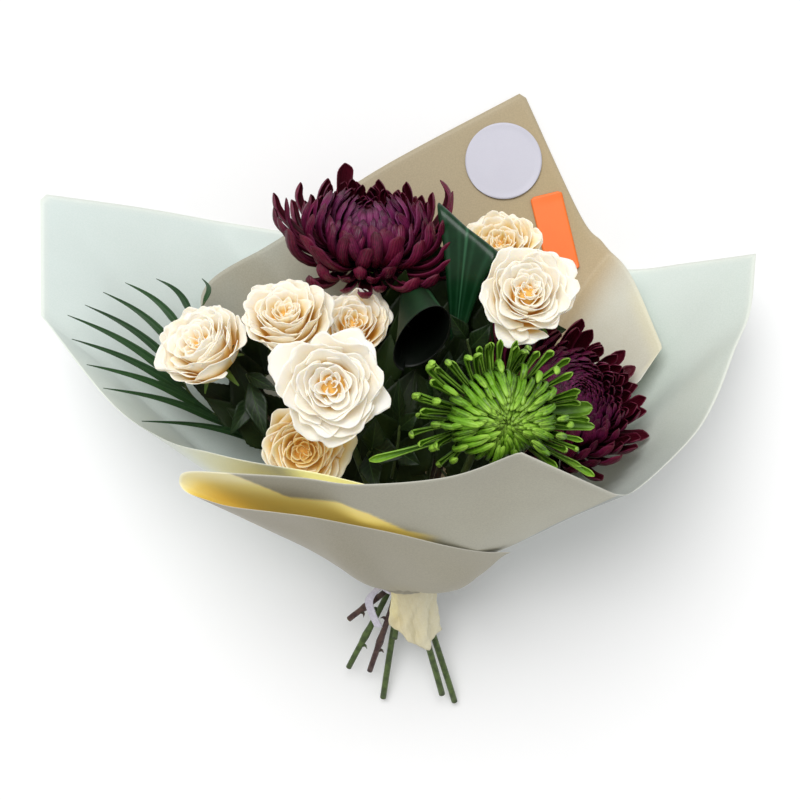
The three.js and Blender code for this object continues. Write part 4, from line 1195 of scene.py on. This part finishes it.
def broadLeafStalk(name, look):
    points = look["stalk"] + [atBinding(*point) for point in look["bound"]]
    stalkPiece(name, smoothPath(points, 12), broadLeaf["stalk"], 10)


def makeRolledLeaf():
    look = rolledLeaf
    back, mouth = np.array(look["back"], float), np.array(look["mouth"], float)
    axis = unit(mouth - back)
    tilt = math.radians(look["tilt"])
    level = unit(across - axis * axis.dot(across))
    wideWay = level * math.cos(tilt) - np.cross(axis, level) * math.sin(tilt)
    high = np.cross(axis, wideWay)
    v = np.linspace(-look["tail"], 1, 37)[:, None]
    closed = np.sin(np.clip((v + look["tail"]) / look["tail"], 0.02, 1) * math.pi / 2)
    u = np.linspace(0, 1, 61)[None]
    angle = np.radians(mix(look["open"], 360 - look["open"], u) - 90)
    flare = closed * (1 + 0.06 * look["flare"] * np.clip(v, 0, 1) ** 6 + 0.02 * np.sin(angle * 3 + v * 2))
    overlap = 1 + 0.035 * (u - 0.5)
    wide = mix(look["backHalf"][0], look["mouthHalf"][0], v) * flare * overlap
    tall = mix(look["backHalf"][1], look["mouthHalf"][1], v) * flare * overlap
    lip = 2.2 * np.sin(angle * 1.5 + 0.4) * smooth(v, 0.7, 1)
    middle = back + v[..., None] * (mouth - back) + lip[..., None] * axis
    grid = middle + (np.cos(angle) * wide)[..., None] * wideWay + (np.sin(angle) * tall)[..., None] * high
    place = placeGrid(v[:, 0], np.linspace(-1, 1, 61), 0.4)
    gridPiece("rolled_leaf", grid, place, [waxyRoll, waxyShade], "aspidistra_curled",
              broadLeaf["thickness"])
    broadLeafStalk("rolled_leaf_stalk", look)


def makeFoldedLeaf():
    look = foldedLeaf
    v = np.linspace(0, 1, 61)
    t = np.linspace(-1, 1, 15)[None]
    middle = through(look["points"], v)
    half = through([[x] for x in look["halves"]], v)
    rise = look["fold"] * half * np.abs(t) + look["wave"] * np.sin(v[:, None] * 14 + t * 2) * np.abs(t)
    grid = stripGrid(middle, look["side"], half * t, rise)
    gridPiece("folded_leaf", grid, placeGrid(v, t[0], 0.6), [waxyLeaf], "aspidistra_folded",
              broadLeaf["thickness"])
    broadLeafStalk("folded_leaf_stalk", look)


makeRolledLeaf()
makeFoldedLeaf()
print("made the broad leaves")

# The satin ribbon round the gathered sheets, its hanging tail, and the rubber tie on the bare stems.
ribbon = {
    "middle": bunch["outerRadius"] + 1.6, "width": 7, "from": -7.5, "thickness": 0.45,
    "tail": [[-17.3, 11.4, -4], [-22, 12.5, -8], [-26.5, 13, -16], [-24.5, 12.5, -28], [-20, 12, -42]],
    "tailWidth": 6.5, "tailSide": [0.9, 0, 0.43],
}
tie = {"radius": 14.6, "turns": 4, "wire": 0.75, "width": 4.2}


def makeRibbon():
    heap = newHeap()
    turn = np.linspace(0, 360, 97)[:-1]
    v = np.linspace(0, 1, 9)
    crease = 0.25 * np.sin(np.radians(turn) * 9) * np.sin(v[:, None] * 5)
    reach = ribbon["middle"] + crease + 0.2 * np.cos(v[:, None] * 6.2)
    up = ribbon["from"] + v * ribbon["width"]
    grid = binding + outward(turn)[None] * reach[..., None] + up[:, None, None] * along
    addGrid(heap, grid, placeGrid(v, np.linspace(-1, 1, 96)), loop=True)
    s = np.linspace(0, 1, 61)
    middle = np.array([atBinding(*point) for point in through(ribbon["tail"], s)])
    t = np.linspace(-1, 1, 9)[None]
    cupped = 0.5 * t * t * np.sin(s * 7)[:, None]
    tail = stripGrid(middle, ribbon["tailSide"], t * ribbon["tailWidth"] / 2, cupped)
    addGrid(heap, tail, placeGrid(s, t[0]))
    makePiece("binding_ribbon_satin", heap, [satin], "binding_ribbon", ribbon["thickness"])


def makeTie():
    heap = newHeap()
    turn = np.linspace(0, 360 * tie["turns"], 48 * tie["turns"])
    up = mix(-tie["width"] / 2, tie["width"] / 2, turn / turn[-1])
    path = binding + outward(turn) * tie["radius"] + up[:, None] * along
    addTube(heap, path, tie["wire"], 8)
    makePiece("stem_tie_band", heap, [rubber], "stem_tie")


makeRibbon()
makeTie()
makeCollar()
print("made the ribbon, the tie and the collar")

# The bare round sticker and the bare label, on the inner back sheet. Their edges lift a little.
cards = {"height": 3.75, "thickness": 0.25, "lift": 0.5}
sticker = {"middle": [79.8, 184.3], "radius": 29.5}
label = {"middle": [119.5, 128.5], "width": 25, "length": 62, "turn": 13.5, "corner": 3}


def cardPiece(name, x, y, lift, place, material, node):
    grid = np.stack([x, y, cards["height"] + lift], -1)
    gridPiece(name, grid, place, [material], node, cards["thickness"])


def makeSticker():
    a = np.linspace(-1, 1, 41)[:, None]
    b = np.linspace(-1, 1, 41)[None]
    x = b * np.sqrt(1 - a * a / 2)
    y = a * np.sqrt(1 - b * b / 2)
    lift = cards["lift"] * smooth(np.hypot(x, y), 0.82, 1) * (0.5 + 0.5 * x)
    (midX, midY), radius = sticker["middle"], sticker["radius"]
    place = placeGrid(a[:, 0], b[0])
    cardPiece("round_sticker_paper", midX + radius * x, midY + radius * y, lift, place, stickerPaper,
              "round_sticker")


def makeLabel():
    v = np.linspace(-1, 1, 41)[:, None]
    t = np.linspace(-1, 1, 17)[None]
    half, long, corner = label["width"] / 2, label["length"] / 2, label["corner"]
    fromEnd = np.clip((long - np.abs(v) * long) / corner, 0, 1)
    inset = corner * (1 - np.sqrt(1 - (1 - fromEnd) ** 2))
    x = t * (half - inset)
    y = v * long + 0 * t
    lift = cards["lift"] * (smooth(v, 0.75, 1) + smooth(-v, 0.8, 1)) * (0.6 + 0.4 * t)
    (midX, midY), turn = label["middle"], math.radians(label["turn"])
    turnedX = midX + x * math.cos(turn) - y * math.sin(turn)
    turnedY = midY + x * math.sin(turn) + y * math.cos(turn)
    place = placeGrid(v[:, 0], t[0])
    cardPiece("price_label_paper", turnedX, turnedY, lift, place, labelPaper, "price_label")


makeSticker()
makeLabel()
print("made the sticker and the label")
